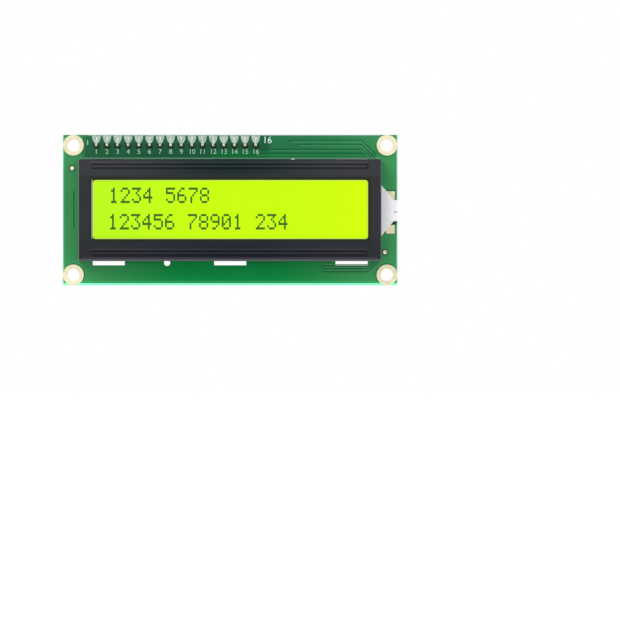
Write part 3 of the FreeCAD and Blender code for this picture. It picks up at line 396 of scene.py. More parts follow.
def rotor_paint():
    """Grey metal screw head, bluish towards its rim, with painted highlights in two of its quarters."""
    shade = Shade("rotor_grey")
    span_x, _, span_z = edges_of("trimmer_rotor")
    across = (shade.x - middle(span_x)) / (span_x[1] - span_x[0])
    up = (shade.z - middle(span_z)) / (span_z[1] - span_z[0])
    scratched = shade.noise(2.0, 3.0, (1, 1, 5))
    # painted highlights in two quarters of the head
    quarters = abs(across).between(0.12, 0.2) * (1 - abs(up).between(0.1, 0.34))
    outer = (across * across + up * up).between(0.1, 0.22)
    tone = shade.layered(
        "#767470",
        ("#5e6264", scratched.between(0.4, 0.7)),
        ("#96acb6", quarters * 0.6), ("#2c5692", outer * 0.8))
    return shade.finish(tone, 0.3 + 0.2 * scratched, shade.bump(scratched, 0.01), metallic=0.15,
                        specular=0.2)


def rear_joint():
    """Dark solder round the pins behind, with a painted glint above each pin."""
    shade = Shade("joint_solder")
    wear = shade.noise(1.4, 3.0)
    beside = shade.node("Math", {"operation": "PINGPONG"}, [shade.x - PIN_X[0], PIN_PITCH / 2])
    glint = (1 - beside.between(0.05, 0.24)) * within(shade.z - PIN_Z, 0.22, 0.52, 0.1)
    tone = shade.layered(
        "#56585c",
        ("#24262a", wear.between(0.35, 0.65)),
        ("#f4f6f4", glint * 0.9))
    return shade.finish(tone, 0.3 + 0.2 * wear, shade.bump(wear, 0.01), metallic=0.4)


def header_pin():
    """Bright tin in front of the boards, and darker where the pins come out behind."""
    shade = Shade("header_pin")
    wear = shade.noise(0.8, 3.0)
    tone = shade.layered(
        "#ccccb8",
        ("#969c86", wear.between(0.35, 0.7)),
        ("#545658", shade.y > DECK.level))
    return shade.finish(tone, 0.3 + 0.12 * wear, shade.bump(wear, 0.01), metallic=0.7)


def bent_pins():
    """Pins whose bends, above the plastic block, are painted dark as shade."""
    shade = Shade("bent_pins")
    clouds, fine = shade.noise(0.8, 3.0), shade.noise(8.0, 2.0)
    bright = shade.blend("#bebea8", "#8a9078", clouds.between(0.4, 0.75))
    # painted shade where the pins turn over the block
    shaded_bend = shade.x.between(DECK_X[0] + 0.1, DECK_X[0] + 0.5)
    return shade.finish(shade.blend(bright, "#0e0e0f", shaded_bend), 0.3 + 0.3 * shaded_bend + 0.1 * fine,
                        shade.bump(fine, 0.01), metallic=0.85 - 0.85 * shaded_bend)


def tinned_land():
    """Solder-plated copper: pale and slightly warm, with a rippled surface."""
    shade = Shade("tinned_land")
    clouds, fine = shade.noise(0.9, 3.0), shade.noise(6.0)
    front = shade.blend("#dad4b4", "#c8bc98", clouds.between(0.42, 0.8))
    ear_lands = (shade.x > BOARD_X[1] - 1.7) * within(shade.z, -3.2, 2.2)
    rear = shade.layered(
        "#ded0bc",
        ("#ccbca4", clouds.between(0.42, 0.8)),
        ("#bcc4c0", ear_lands * fine.between(0.3, 0.6)))
    toned = shade.blend(front, rear, shade.y > middle(BOARD_Y))
    return shade.finish(toned, 0.38 + 0.2 * fine, shade.bump(clouds, 0.03), metallic=0.2,
                        specular=0.3)


def epoxy(name, middle_z, radius):
    """Black epoxy drop: deep at the top and middle, grey where its lower slope catches light."""
    shade = Shade(name)
    clouds, pits = shade.noise(0.16, 3.0), shade.noise(3.5, 3.0)
    drop = (middle_z - shade.z) / radius + (clouds - 0.5) * 0.9
    toned = shade.layered(
        "#141619",
        ("#3c3e41", drop.between(-0.25, 0.75)),
        ("#2c2e32", (0 - drop).between(0.45, 1.0) * 0.6))
    return shade.finish(toned, 0.3 + 0.2 * pits, shade.bump(clouds * 0.6 + pits * 0.4, 0.05),
                        specular=0.12)


def ink(name, colour, faded):
    """Printed ink, thin where the screen left less of it."""
    shade = Shade(name)
    worn = shade.noise(3.0, 3.0)
    return shade.finish(shade.blend(colour, faded, worn.between(0.5, 0.8) * 0.6), 0.55 + 0.1 * worn,
                        shade.bump(worn, 0.005), specular=0.25)


def lamp_lens():
    """The clouded, yellowish lens of a small lamp."""
    shade = Shade("lamp_lens")
    lit = shade.noise(1.2)
    colour = shade.blend("#d6c478", "#ece2b2", lit)
    return shade.finish(colour, 0.18 + 0.1 * lit, coat_weight=0.4)


def made(make, rows):
    """Finishes of one kind, from rows of what its function takes after the name."""
    return {name: make(name, *row) for name, row in rows.items()}


FINISHES = {
    "green_laminate": green_mask(), "black_laminate": black_mask(), "black_steel": bezel_paint(),
    "lit_film": lit_film(), "white_moulding": housing(), "tinned_copper": tinned_land(),
    "trimmer_blue": trimmer_paint(), "rotor_grey": rotor_paint(), "lamp_lens": lamp_lens(),
    **made(clear_plate, {
        "clear_glass": ("#d6e8de",),
        "clear_acrylic": ("#e2f0d6",)}),
    **made(moulding, {
        # the cream rubber's glow is painted light against the shade of the slots
        "cream_rubber": ("#fff4de", "#ffe8cc", 0.6, 4.0, 0.2, 0.2),
        "black_moulding": ("#222326", "#18191c", 0.42),
        "package_epoxy": ("#28292c", "#202124", 0.55, 7.0, 0.1),
        "chip_black": ("#3e3c40", "#26262a", 0.3),
        "clear_lens": ("#d6dade", "#b0b6be", 0.2, 1.0),
        "tan_lens": ("#a8a68c", "#787a68", 0.25, 1.0)}),
    **made(metal, {
        "solder": ("#e2e4e2", "#aaaeb0", 0.2),
        "pin_metal": ("#ccccb8", "#969c86", 0.3, 0.8, 0.01),
        "chip_end": ("#e4e4e0", "#babcba", 0.3),
        "khaki_tin": ("#acae94", "#8c927a", 0.45, 1.2),
        "deck_land": ("#b0b2b6", "#787a7e", 0.4, 2.0),
        "land_under_lacquer": ("#a8b6aa", "#809688", 0.5, 1.6),
        "lead_metal": ("#a4a6aa", "#606266", 0.35, 1.5),
        "jumper_metal": ("#d6d9d6", "#7e8282", 0.3, 0.7)}),
    **made(ink, {
        "silk_ink": ("#bee0cc", "#96c4aa"),
        "label_ink": ("#9ec4ac", "#689e80"),
        "deck_silk_ink": ("#d8dade", "#a0a2a8"),
        "lacquer_over_bare_laminate": ("#0e5a36", "#1a6e44"),
        "lacquer_dip": ("#105e3a", "#186a42"),
        "lacquer_over_copper": ("#388e5c", "#287c4e"),
        "lacquer_over_rear_copper": ("#2e8252", "#227448"),
        "board_edge_shine": ("#749a88", "#54846e"),
        "flux_shadow": ("#0e2e20", "#163e2a"),
        "switched_crystal": ("#2c5400", "#386200"),
        "chip_marking": ("#706e72", "#545256"),
        "trimmer_tick": ("#0e3878", "#14448a")}),
    "blob_epoxy": epoxy("blob_epoxy", 0.0, 6.0),
    "film_rim": film_rim(),
    # lighter and darker bezel paint, for painted highlights and painted shade on the beads
    "bezel_bead_highlight": bezel_paint("bezel_bead_highlight", 22),
    "bezel_bead_shade": bezel_paint("bezel_bead_shade", -16),
    "joint_solder": rear_joint(),
    "bent_pins": bent_pins(),
    "header_pin": header_pin(),
}
# nodes whose finish differs from the others of their slot
OWN_FINISH = {
    "transistor_leads": "lead_metal", "expander_leads": "lead_metal", "jumper_pins": "jumper_metal",
    "jumper_contact": "jumper_metal", "power_lamp": "clear_lens", "signal_lamp": "tan_lens",
    "bus_pins": "bent_pins", "header_pins": "header_pin", "bridge_lands": "deck_land",
}


def dress(piece, finish):
    """Gives a piece its one material, by the name of its finish."""
    piece.data.materials.clear()
    piece.data.materials.append(FINISHES[finish])


def finish_of(node):
    """The name of a CAD node's finish."""
    return OWN_FINISH.get(node, SLOT_OF_NODE[node])


def dress_cad_nodes():
    """Every CAD node in its finish."""
    for node, piece in nodes.items():
        dress(piece, finish_of(node))


# ---- modelling


def placed(name, data):
    """A new object in the scene, for a mesh, a curve, a lamp or a camera."""
    piece = bpy.data.objects.new(name, data)
    bpy.context.scene.collection.objects.link(piece)
    return piece


def fresh():
    """Leaves edit mode and drops whatever is selected, so that an operator acts on one piece."""
    if bpy.context.object and bpy.context.object.mode != "OBJECT":
        bpy.ops.object.mode_set(mode="OBJECT")
    bpy.ops.object.select_all(action="DESELECT")


def edit(piece=None):
    """Starts editing a piece, or the one that was just added."""
    if piece:
        fresh()
        piece.select_set(True)
        bpy.context.view_layer.objects.active = piece
    bpy.ops.object.mode_set(mode="EDIT")
    bpy.ops.mesh.select_all(action="SELECT")


def choose(test):
    """Selects the edges whose two ends pass a test, and nothing else."""
    bpy.ops.mesh.select_mode(type="EDGE")
    bpy.ops.mesh.select_all(action="DESELECT")
    mesh = bmesh.from_edit_mesh(bpy.context.object.data)
    for edge in mesh.edges:
        if test(*[vertex.co for vertex in edge.verts]):
            edge.select_set(True)
    bmesh.update_edit_mesh(bpy.context.object.data)


def done(smooth_below=None):
    """Closes a model: faces outwards, and smooth where they meet at less than an angle."""
    if bpy.context.object.mode != "EDIT":
        edit()
    bpy.ops.mesh.select_all(action="SELECT")
    bpy.ops.mesh.normals_make_consistent(inside=False)
    bpy.ops.object.mode_set(mode="OBJECT")
    bpy.ops.object.transform_apply()
    if smooth_below:
        bpy.ops.object.shade_smooth_by_angle(angle=math.radians(smooth_below))
    return bpy.context.object


def mound(radius, sides, steps, smooth_below=50):
    """A round form that stands on a face, grown through steps of (height, radius)."""
    fresh()
    bpy.ops.mesh.primitive_circle_add(vertices=sides, radius=radius, fill_type="NGON")
    edit()
    level, across = 0.0, radius
    for height, wide in steps:
        bpy.ops.mesh.extrude_region_move(TRANSFORM_OT_translate={"value": (0, 0, height - level)})
        bpy.ops.transform.resize(value=(wide / across,) * 3, center_override=(0, 0, height))
        level, across = height, wide
    return done(smooth_below)


def block(length, width, height, rounding=0.0, segments=2, smooth_below=40):
    """A block that stands on a face, with its edges rounded except at the foot."""
    fresh()
    bpy.ops.mesh.primitive_cube_add(size=1)
    edit()
    bpy.ops.transform.translate(value=(0, 0, 0.5))
    bpy.ops.transform.resize(value=(length, width, height), center_override=(0, 0, 0))
    if rounding:
        choose(lambda start, end: max(start.z, end.z) > height / 2)
        bpy.ops.mesh.bevel(offset=rounding, segments=segments, affect="EDGES")
    return done(smooth_below)


def turned(profile, sides, smooth_below=40):
    """A ring turned about the z axis from a closed profile of (radius, height)."""
    fresh()
    bpy.ops.mesh.primitive_circle_add(vertices=len(profile), fill_type="NOTHING")
    for vertex, (radius, height) in zip(bpy.context.object.data.vertices, profile):
        vertex.co = (radius, 0, height)
    edit()
    bpy.ops.mesh.spin(steps=sides, angle=2 * math.pi, center=(0, 0, 0), axis=(0, 0, 1))
    bpy.ops.mesh.select_all(action="SELECT")
    bpy.ops.mesh.remove_doubles(threshold=0.0005)
    return done(smooth_below)


def tapered(sections, cuts=5, smooth_below=60):
    """A drop of solder along the y axis, through sections of (y, width, height), crowned across."""
    fresh()
    bpy.ops.mesh.primitive_cube_add(size=1)
    edit()
    bpy.ops.mesh.subdivide(number_cuts=cuts)
    bpy.ops.object.mode_set(mode="OBJECT")
    for vertex in bpy.context.object.data.vertices:
        share = (vertex.co.y + 0.5) * (len(sections) - 1)
        first = min(int(share), len(sections) - 2)
        y, width, height = (low + (high - low) * (share - first)
                            for low, high in zip(sections[first], sections[first + 1]))
        crown = 1 - (2 * vertex.co.x) ** 2 * 0.55
        vertex.co = (vertex.co.x * width, y, (vertex.co.z + 0.5) * height * crown)
    return done(smooth_below)


def spot(face, x, z, turn=0.0, lift=0.0):
    """The matrix that stands a model on a face at a place, turned on it by degrees and lifted off it."""
    return (Matrix.Translation(Vector((x, face.level, z)) * MM) @ FACING[face.side] @ SCALE
            @ Matrix.Translation((0, 0, lift)) @ Matrix.Rotation(math.radians(turn), 4, "Z"))


def on_face(face, across, down, turn=0.0):
    """The same matrix, for a place written across and down the board."""
    return spot(face, *on_board(across, down), turn)


def at_pins(face, z, lift=0.0):
    """A place at every header pin."""
    return [spot(face, x, z, lift=lift) for x in PIN_X]


def settle(piece, name, finish, body="module", replaces=()):
    """Names a finished piece and joins it to the CAD body that carries it."""
    piece.name = piece.data.name = name
    dress(piece, finish)
    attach(piece, body)
    if replaces:
        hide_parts(*replaces)


def copies(models_and_places, name):
    """One object of many copies, each with its own mesh. The models themselves go."""
    whole = bmesh.new()
    for model, places in models_and_places:
        for place in places:
            own = model.data.copy()
            own.transform(place)
            whole.from_mesh(own)
            bpy.data.meshes.remove(own)
    mesh = bpy.data.meshes.new(name)
    whole.to_mesh(mesh)
    whole.free()
    for model, _ in models_and_places:
        bpy.data.objects.remove(model)
    return placed(name, mesh)


def spread(model, places, name, finish, replaces=()):
    """Copies of one model at many places, as one finished piece."""
    settle(copies([(model, places)], name), name, finish, replaces=replaces)


def drawn(face, runs, width, name, finish, rise=0.035):
    """Fine lines pressed flat on a face: runs of points, each with a word for closed."""
    fresh()
    mirror = 1 if face.side == "front" else -1
    curve = bpy.data.curves.new(name, "CURVE")
    curve.dimensions = "3D"
    curve.bevel_depth = width / 2
    curve.bevel_resolution = 1
    curve.use_fill_caps = True
    for points, closed in runs:
        spline = curve.splines.new("POLY")
        spline.points.add(len(points) - 1)
        for knot, (x, z) in zip(spline.points, points):
            knot.co = (mirror * x, z, 0, 1)
        spline.use_cyclic_u = closed
    piece = placed(name, curve)
    piece.select_set(True)
    bpy.context.view_layer.objects.active = piece
    bpy.ops.object.convert(target="MESH")
    piece.data.transform(spot(face, 0, 0) @ Matrix.Diagonal((1, 1, 2 * rise / width, 1)))
    settle(piece, name, finish)


def frame_run(across, down, wide, deep, corner=0.0):
    """A closed outline about a centre, its corners square or rounded by a radius."""
    x, z = on_board(across, down)
    half_x, half_z = wide / 2, deep / 2
    if not corner:
        return [(x - half_x, z - half_z), (x + half_x, z - half_z), (x + half_x, z + half_z),
                (x - half_x, z + half_z)], True
    points = []
    for quarter, (side_x, side_z) in enumerate(((1, 1), (-1, 1), (-1, -1), (1, -1))):
        for part in range(4):
            turn = math.radians(90 * quarter + 30 * part)
            points.append((x + side_x * (half_x - corner) + corner * math.cos(turn),
                           z + side_z * (half_z - corner) + corner * math.sin(turn)))
    return points, True


def ring_run(across, down, diameter, knots=56, start=0, end=360):
    """A circle about a centre, or an arc between two angles in degrees."""
    x, z = on_board(across, down)
    whole = end - start == 360
    turns = [math.radians(start + (end - start) * knot / (knots if whole else knots - 1))
             for knot in range(knots)]
    return [(x + diameter / 2 * math.cos(turn), z + diameter / 2 * math.sin(turn))
            for turn in turns], whole


def line_run(*places):
    """An open line through places across and down the board."""
    return [on_board(*place) for place in places], False


def level_runs(*rows):
    """Straight lines along the board, from (down, start, end)."""
    return [line_run((start, down), (end, down)) for down, start, end in rows]


def split_frame(across, down, wide, deep, gap):
    """An outline in two halves, with a gap in the middle of both long sides."""
    top, bottom = down - deep / 2, down + deep / 2
    runs = []
    for side in (-1, 1):
        inner, outer = across + side * gap / 2, across + side * wide / 2
        runs.append(line_run((inner, top), (outer, top), (outer, bottom), (inner, bottom)))
    return runs


def lettering(face, words, height, name, finish, rise=0.02):
    """Plain numerals and signs on a face: (text, across, down), and a turn if they stand turned."""
    capital_share = 0.72
    meshes = []
    for text, across, down, *turn in words:
        fresh()
        bpy.ops.object.text_add()
        label = bpy.context.object
        label.data.body = text
        label.data.size = height / capital_share
        label.data.align_x = label.data.align_y = "CENTER"
        label.data.extrude = rise
        label.data.offset = 0.012
        bpy.ops.object.convert(target="MESH")
        meshes.append((bpy.context.object, [on_face(face, across, down, *turn)]))
    settle(copies(meshes, name), name, finish)


def rounded_solid(node, name, width, segments=2, body="module"):
    """A CAD solid again, with its sharp edges rounded as a mould or a press leaves them."""
    solid = placed(name, nodes[node].data.copy())
    edit(solid)
    bpy.ops.mesh.remove_doubles(threshold=0.002 * MM)
    bpy.ops.mesh.dissolve_limited(angle_limit=math.radians(2))
    bpy.ops.mesh.select_mode(type="EDGE")
    bpy.ops.mesh.select_all(action="DESELECT")
    bpy.ops.mesh.edges_select_sharp(sharpness=math.radians(35))
    bpy.ops.mesh.bevel(offset=width * MM, segments=segments, affect="EDGES", clamp_overlap=True)
    done(40)
    settle(solid, name, finish_of(node), body, [node])


def rounded_cases():
    """The moulded cases, chips and pins, whose edges catch the light."""
    rounded_solid("expander_body", "package_case", 0.12)
    rounded_solid("trimmer_body", "trimmer_case", 0.15)
    rounded_solid("transistor_body", "transistor_case", 0.08)
    rounded_solid("jumper_cap", "jumper_cap_shell", 0.15, 3, "jumper")
    for board in ("deck", "main"):
        rounded_solid(board + "_chip_cores", board + "_chip_bodies", 0.06)
        rounded_solid(board + "_chip_caps", board + "_chip_ends", 0.06)
    rounded_solid("header_pins", "header_pin_row", 0.16)


# ---- solder


def solder_joints():
    """Smooth drops of solder round the pins, in place of the faceted ones."""
    front = mound(0.34, 20, [(0.2, 0.32), (0.5, 0.29), (0.8, 0.26), (0.98, 0.18), (1.02, 0.08)])
    spread(front, at_pins(FRONT, PIN_Z + 0.1, 0.06), "front_solder", "solder", ["front_joints"])
    # a dark disc of painted shadow below each front joint
    shadow = mound(0.84, 24, [(0.012, 0.84), (0.03, 0.76)])
    spread(shadow, at_pins(FRONT, PIN_Z - 0.1), "front_joint_shadows", "flux_shadow")
    funnel = tapered([(0.2, 0.4, 0.3), (0.5, 0.92, 0.24), (0.9, 1.42, 0.2), (1.3, 1.78, 0.16),
                      (1.8, 2.0, 0.12), (2.36, 2.12, 0.07)], 10)
    spread(funnel, at_pins(FRONT, PIN_Z), "front_land_solder", "land_under_lacquer",
           ["header_lands"])
    # a bright strip of painted highlight down the middle of each funnel
    shine = tapered([(0.3, 0.2, 0.3), (0.9, 0.24, 0.26), (1.5, 0.3, 0.2), (1.9, 0.34, 0.16)], 3)
    spread(shine, at_pins(FRONT, PIN_Z, 0.05), "front_land_highlights", "chip_end")
    strip = block(2.24, 1.16, 0.06, 0.02)
    spread(strip, at_pins(BACK, BOARD_Z[1] - 0.68), "back_land_ends", "khaki_tin")
    rear = mound(0.74, 20, [(0.08, 0.66), (0.2, 0.46), (0.5, 0.36), (0.9, 0.3), (1.14, 0.22), (1.2, 0.1)])
    spread(rear, at_pins(DECK, PIN_Z), "rear_solder", "joint_solder", ["back_joints"])
    lamp = mound(0.88, 24, [(0.08, 0.85), (0.2, 0.74), (0.3, 0.54), (0.36, 0.3)])
    span_x, _, (z_low, z_high) = edges_of("backlight_pins")
    half = (span_x[1] - span_x[0]) / 2
    spread(lamp, [spot(BACK, middle(span_x), z) for z in (z_low + half, z_high - half)],
           "lamp_solder", "tinned_copper", ["backlight_joints"])
    dot = mound(0.72, 24, [(0.1, 0.7), (0.22, 0.58), (0.31, 0.38), (0.35, 0.14)])
    spread(dot, [on_face(BACK, *place) for place in TEST_DOTS], "test_solder", "tinned_copper",
           ["test_dots"])


def eyelets():
    """Round tinned rings at the bolt holes and round the two small holes."""
    thick, bore, rim = 0.06, 1.45, 2.5
    depth = BACK.level - FRONT.level + thick
    ring = turned([(bore, thick * 0.4), (bore + 0.1, thick), (rim - 0.06, thick), (rim, 0.0),
                   (bore + 0.05, 0.0), (bore + 0.05, thick - depth), (rim, thick - depth),
                   (rim - 0.06, -depth), (bore + 0.1, -depth), (bore, -depth + thick * 0.6)], 72)
    x, z = BOARD_X[1] - 2.5, BOARD_Z[1] - 2.5
    spread(ring, [spot(FRONT, side * x, end * z) for side in (-1, 1) for end in (-1, 1)],
           "bolt_rings", "tinned_copper", ["mounting_eyelets"])
    small = turned([(0.33, 0.05), (0.52, 0.05), (0.56, 0.0), (0.33, 0.0)], 32)
    # dark rings of painted shadow round the small rings
    shadow = turned([(0.5, 0.02), (0.76, 0.02), (0.8, 0.0), (0.5, 0.0)], 32)
    places = [on_face(face, *place) for place in ((2.2, 8.0), (77.06, 28.06)) for face in (FRONT, BACK)]
    spread(small, places, "small_rings", "tinned_copper")
    spread(shadow, places, "small_ring_shadows", "flux_shadow")


def epoxy_drops():
    """Domed drops of black epoxy over the bare dies, slightly out of round."""
    for node, seed in (("controller_blob", 3), ("driver_blob", 8)):
        (x0, x1), (foot, top), span_z = edges_of(node)
        radius, rise = (x1 - x0) / 2, top - foot
        drop = mound(radius, 56, [(rise * math.sin(turn), radius * math.cos(turn))
                                  for turn in (0.12, 0.3, 0.5, 0.72, 0.95, 1.18, 1.38)], 180)
        rng = random.Random(seed)
        waves = [(rng.randint(2, 5), rng.uniform(0, 6.3), rng.uniform(0.004, 0.012)) for _ in range(4)]
        for vertex in drop.data.vertices:
            angle = math.atan2(vertex.co.y, vertex.co.x)
            share = 1 - sum(depth * (1 + math.sin(count * angle + phase)) for count, phase, depth in waves)
            vertex.co.x *= share
            vertex.co.y *= share
        drop.data.transform(spot(Face("back", foot, None), middle((x0, x1)), middle(span_z)))
        finish = node.replace("blob", "epoxy")
        FINISHES[finish] = epoxy(finish, middle(span_z), radius)
        settle(drop, node.replace("blob", "drop"), finish, replaces=[node])


# ---- display


GLYPHS = {
    "0": "01110 10001 10011 10101 11001 10001 01110", "1": "00100 01100 00100 00100 00100 00100 01110",
    "2": "01110 10001 00001 00010 00100 01000 11111", "3": "11111 00010 00100 00010 00001 10001 01110",
    "4": "00010 00110 01010 10010 11111 00010 00010", "5": "11111 10000 11110 00001 00001 10001 01110",
    "6": "00110 01000 10000 11110 10001 10001 01110", "7": "11111 00001 00010 00100 01000 01000 01000",
    "8": "01110 10001 10001 01110 10001 10001 01110", "9": "01110 10001 10001 01111 00001 00010 01100",
}


def lit_window():
    """The lit film with rounded corners, in place of the plain front polariser, and its dark rim."""
    front, back = edges_of("front_polariser")[1]
    seat = Face("front", back, "lit_film")
    film = block(LIT_X[1] - LIT_X[0], LIT_Z[1] - LIT_Z[0], back - front, smooth_below=None)
    edit(film)
    choose(lambda start, end: abs(start.z - end.z) > (back - front) / 2)
    bpy.ops.mesh.bevel(offset=0.7, segments=8, affect="EDGES")
    done()
    film.data.transform(spot(seat, middle(LIT_X), middle(LIT_Z)))
    settle(film, "lit_window", "lit_film", replaces=["front_polariser"])
    # the dark rim round the lit film is painted shade of the bezel's window edge
    wide_x, _, wide_z = edges_of("front_glass")
    rim = block(wide_x[1] - wide_x[0], wide_z[1] - wide_z[0], (back - front) * 0.6)
    rim.data.transform(spot(seat, middle(wide_x), middle(wide_z)))
    settle(rim, "lit_window_rim", "film_rim")


def display_characters():
    """Two rows of plain numerals in five by seven dots, on the lit film."""
    dot = block(0.43, 0.52, 0.02)
    column_pitch, dot_pitch, row_pitch = 2.7, 0.44, 0.53
    places = []
    for text, left, top in (("1234 5678", 11.5, 13.0), ("123456 78901 234", 11.3, 19.3)):
        for column, sign in enumerate(text):
            for row, dots in enumerate(GLYPHS.get(sign, "").split()):
                places += [on_face(face_of("front_polariser", "front"),
                                   left + column_pitch * column + dot_pitch * number, top + row_pitch * row)
                           for number, lit in enumerate(dots) if lit == "1"]
    spread(dot, places, "display_characters", "switched_crystal")


def bezel_beads():
    """The pressed beads of the bezel: painted highlights on the ridges, and painted shade lines between."""
    face = face_of("bezel", "front")
    ridges = level_runs((6.75, 6.6, 72.8), (7.65, 7.8, 72.2), (27.45, 7.0, 72.4), (28.3, 7.6, 72.0),
                        (29.45, 4.9, 75.0))
    grooves = level_runs((7.1, 7.4, 72.9), (8.2, 7.4, 72.9), (27.9, 7.3, 72.5), (28.98, 7.3, 72.5),
                         (29.74, 4.2, 75.8)) + [line_run((72.9, 7.1), (72.9, 8.2))]
    drawn(face, ridges, 0.2, "bezel_bead_highlights", "bezel_bead_highlight", 0.05)
    drawn(face, grooves, 0.24, "bezel_bead_shades", "bezel_bead_shade", 0.03)


# ---- print on the boards


def front_print():
    """The numbers of the sixteen pins."""
    numbers = [(str(number + 1), x - BOARD_X[0], 4.05) for number, x in enumerate(PIN_X)]
    lettering(FRONT, numbers + [("1", 5.9, 1.9)], 1.2, "front_numbers", "label_ink")
    lettering(FRONT, [("16", 48.9, 1.3)], 1.6, "front_row_end", "silk_ink")


def round_bolts():
    """Arcs along the inner sides of the four bolt rings."""
    runs = []
    for side, across in ((-1, 2.5), (1, 77.5)):
        for end, down in ((1, 2.5), (-1, 33.5)):
            inward = math.degrees(math.atan2(-end, -side))
            runs.append(ring_run(across, down, 5.2, 24, inward - 78, inward + 78))
    return runs


def front_copper():
    """Where the lacquer dips between areas of copper, and the light edges beside the dips."""
    gaps, lines = [], []
    above = ((1.3, 53.6, 71.5, (75.0, 4.8)), (2.25, 55.6, 71.4, (75.2, 6.05)),
             (3.45, 48.2, 72.0, (74.5, 5.95)), (4.45, 45.0, 72.6, (74.1, 5.95)))
    under = ((31.35, 61.6, 73.0, (74.3, 30.4)), (32.0, 62.0, 72.6, (74.9, 30.4)),
             (32.75, 62.2, 72.8, (75.6, 30.4)))
    for traces, later, lower, sooner, back, drop in ((above, 1.2, 0.42, 0.2, 0.5, 0.0),
                                                     (under, 0.4, -0.33, 0.1, 0.4, 0.1)):
        for down, start, turn, end in traces:
            gaps.append(line_run((start, down), (turn, down), end))
            lines.append(line_run((start + later, down + lower), (turn - sooner, down + lower),
                                  (end[0] - back, end[1] + drop)))
    gaps.append(line_run((2.6, 13.4), (2.6, 22.0)))
    dashes = [left + 0.85 * number for left in (15.2, 44.6) for number in range(11)] + [61.2, 62.0, 63.4]
    gaps += level_runs(*[(30.62, start, start + 0.45) for start in dashes]) + round_bolts()
    ends = [frame_run(78.25, down, 2.35, 2.35) for down in (14.45, 22.45)]
    drawn(FRONT, ends, 0.2, "end_land_outlines", "flux_shadow", 0.07)
    drawn(FRONT, gaps, 0.26, "front_gaps", "lacquer_over_bare_laminate", 0.015)
    drawn(FRONT, lines, 0.22, "front_copper_edges", "lacquer_over_copper", 0.02)
    # painted highlights: a pale line at the bezel's lit top wall, and one along the board's top edge
    shine = level_runs((5.6, 4.0, 75.9), (0.14, 6.0, 76.0))
    drawn(FRONT, shine, 0.22, "front_shine", "board_edge_shine", 0.02)


def back_copper():
    """The same on the back, where three long traces run below the slots and up beside the last."""
    gaps, lines = [], []
    for down, left, right, turn, top in ((31.65, 64.2, 6.2, 1.2, 26.4), (32.75, 63.8, 5.3, 1.9, 25.7),
                                         (33.85, 63.4, 4.4, 2.6, 25.0)):
        gaps.append(line_run((left, down - 0.6), (left, down), (right + turn, down), (right, down - turn),
                             (right, top)))
        lines.append(line_run((left - 0.4, down + 0.4), (right + turn - 0.15, down + 0.4),
                              (right - 0.4, down - turn + 0.15), (right - 0.4, top + 0.3)))
    for number in range(5):
        for across, top, bottom in ((18.0 + 1.25 * number, 28.0 + 0.3 * number, 30.6),
                                    (31.0 + 1.0 * number, 28.4, 30.4)):
            gaps.append(line_run((across, top), (across, bottom)))
    for number in range(4):
        left, down = 62.4 - 0.5 * number, 26.8 + 1.1 * number
        gaps.append(line_run((left + 2.4, down), (left + 1.0, down), (left, down + 1.0), (52.0, down + 1.0)))
        lines.append(line_run((44.6, 27.6 + 0.9 * number), (48.4, 27.6 + 0.9 * number)))
        gaps.append(line_run((75.2 - 0.6 * number, 7.2), (75.2 - 0.6 * number, 12.8 - number)))
    gaps += level_runs((1.5, 64.0, 76.0), (2.6, 52.0, 57.0), (5.4, 51.0, 58.0), (22.2, 38.0, 48.0))
    gaps += [line_run(*places) for places in (((74.6, 8.0), (74.6, 14.0), (76.0, 15.4)),
                                              ((26.0, 29.8), (24.0, 27.8), (24.0, 26.0)),
                                              ((30.2, 24.6), (22.4, 24.6), (20.8, 26.2)),
                                              ((6.2, 21.4), (6.2, 24.6), (5.2, 25.6)),
                                              ((5.3, 21.4), (5.3, 24.6), (4.3, 25.6)))]
    lines += level_runs((31.1, 15.2, 23.6), (31.1, 45.0, 52.0), (29.0, 46.8, 55.6))
    lines.append(line_run((26.4, 30.0), (24.4, 28.0), (24.4, 26.0)))
    gaps += round_bolts()
    drawn(BACK, gaps, 0.24, "back_gaps", "lacquer_dip", 0.015)
    drawn(BACK, lines, 0.2, "back_copper_edges", "lacquer_over_rear_copper", 0.02)


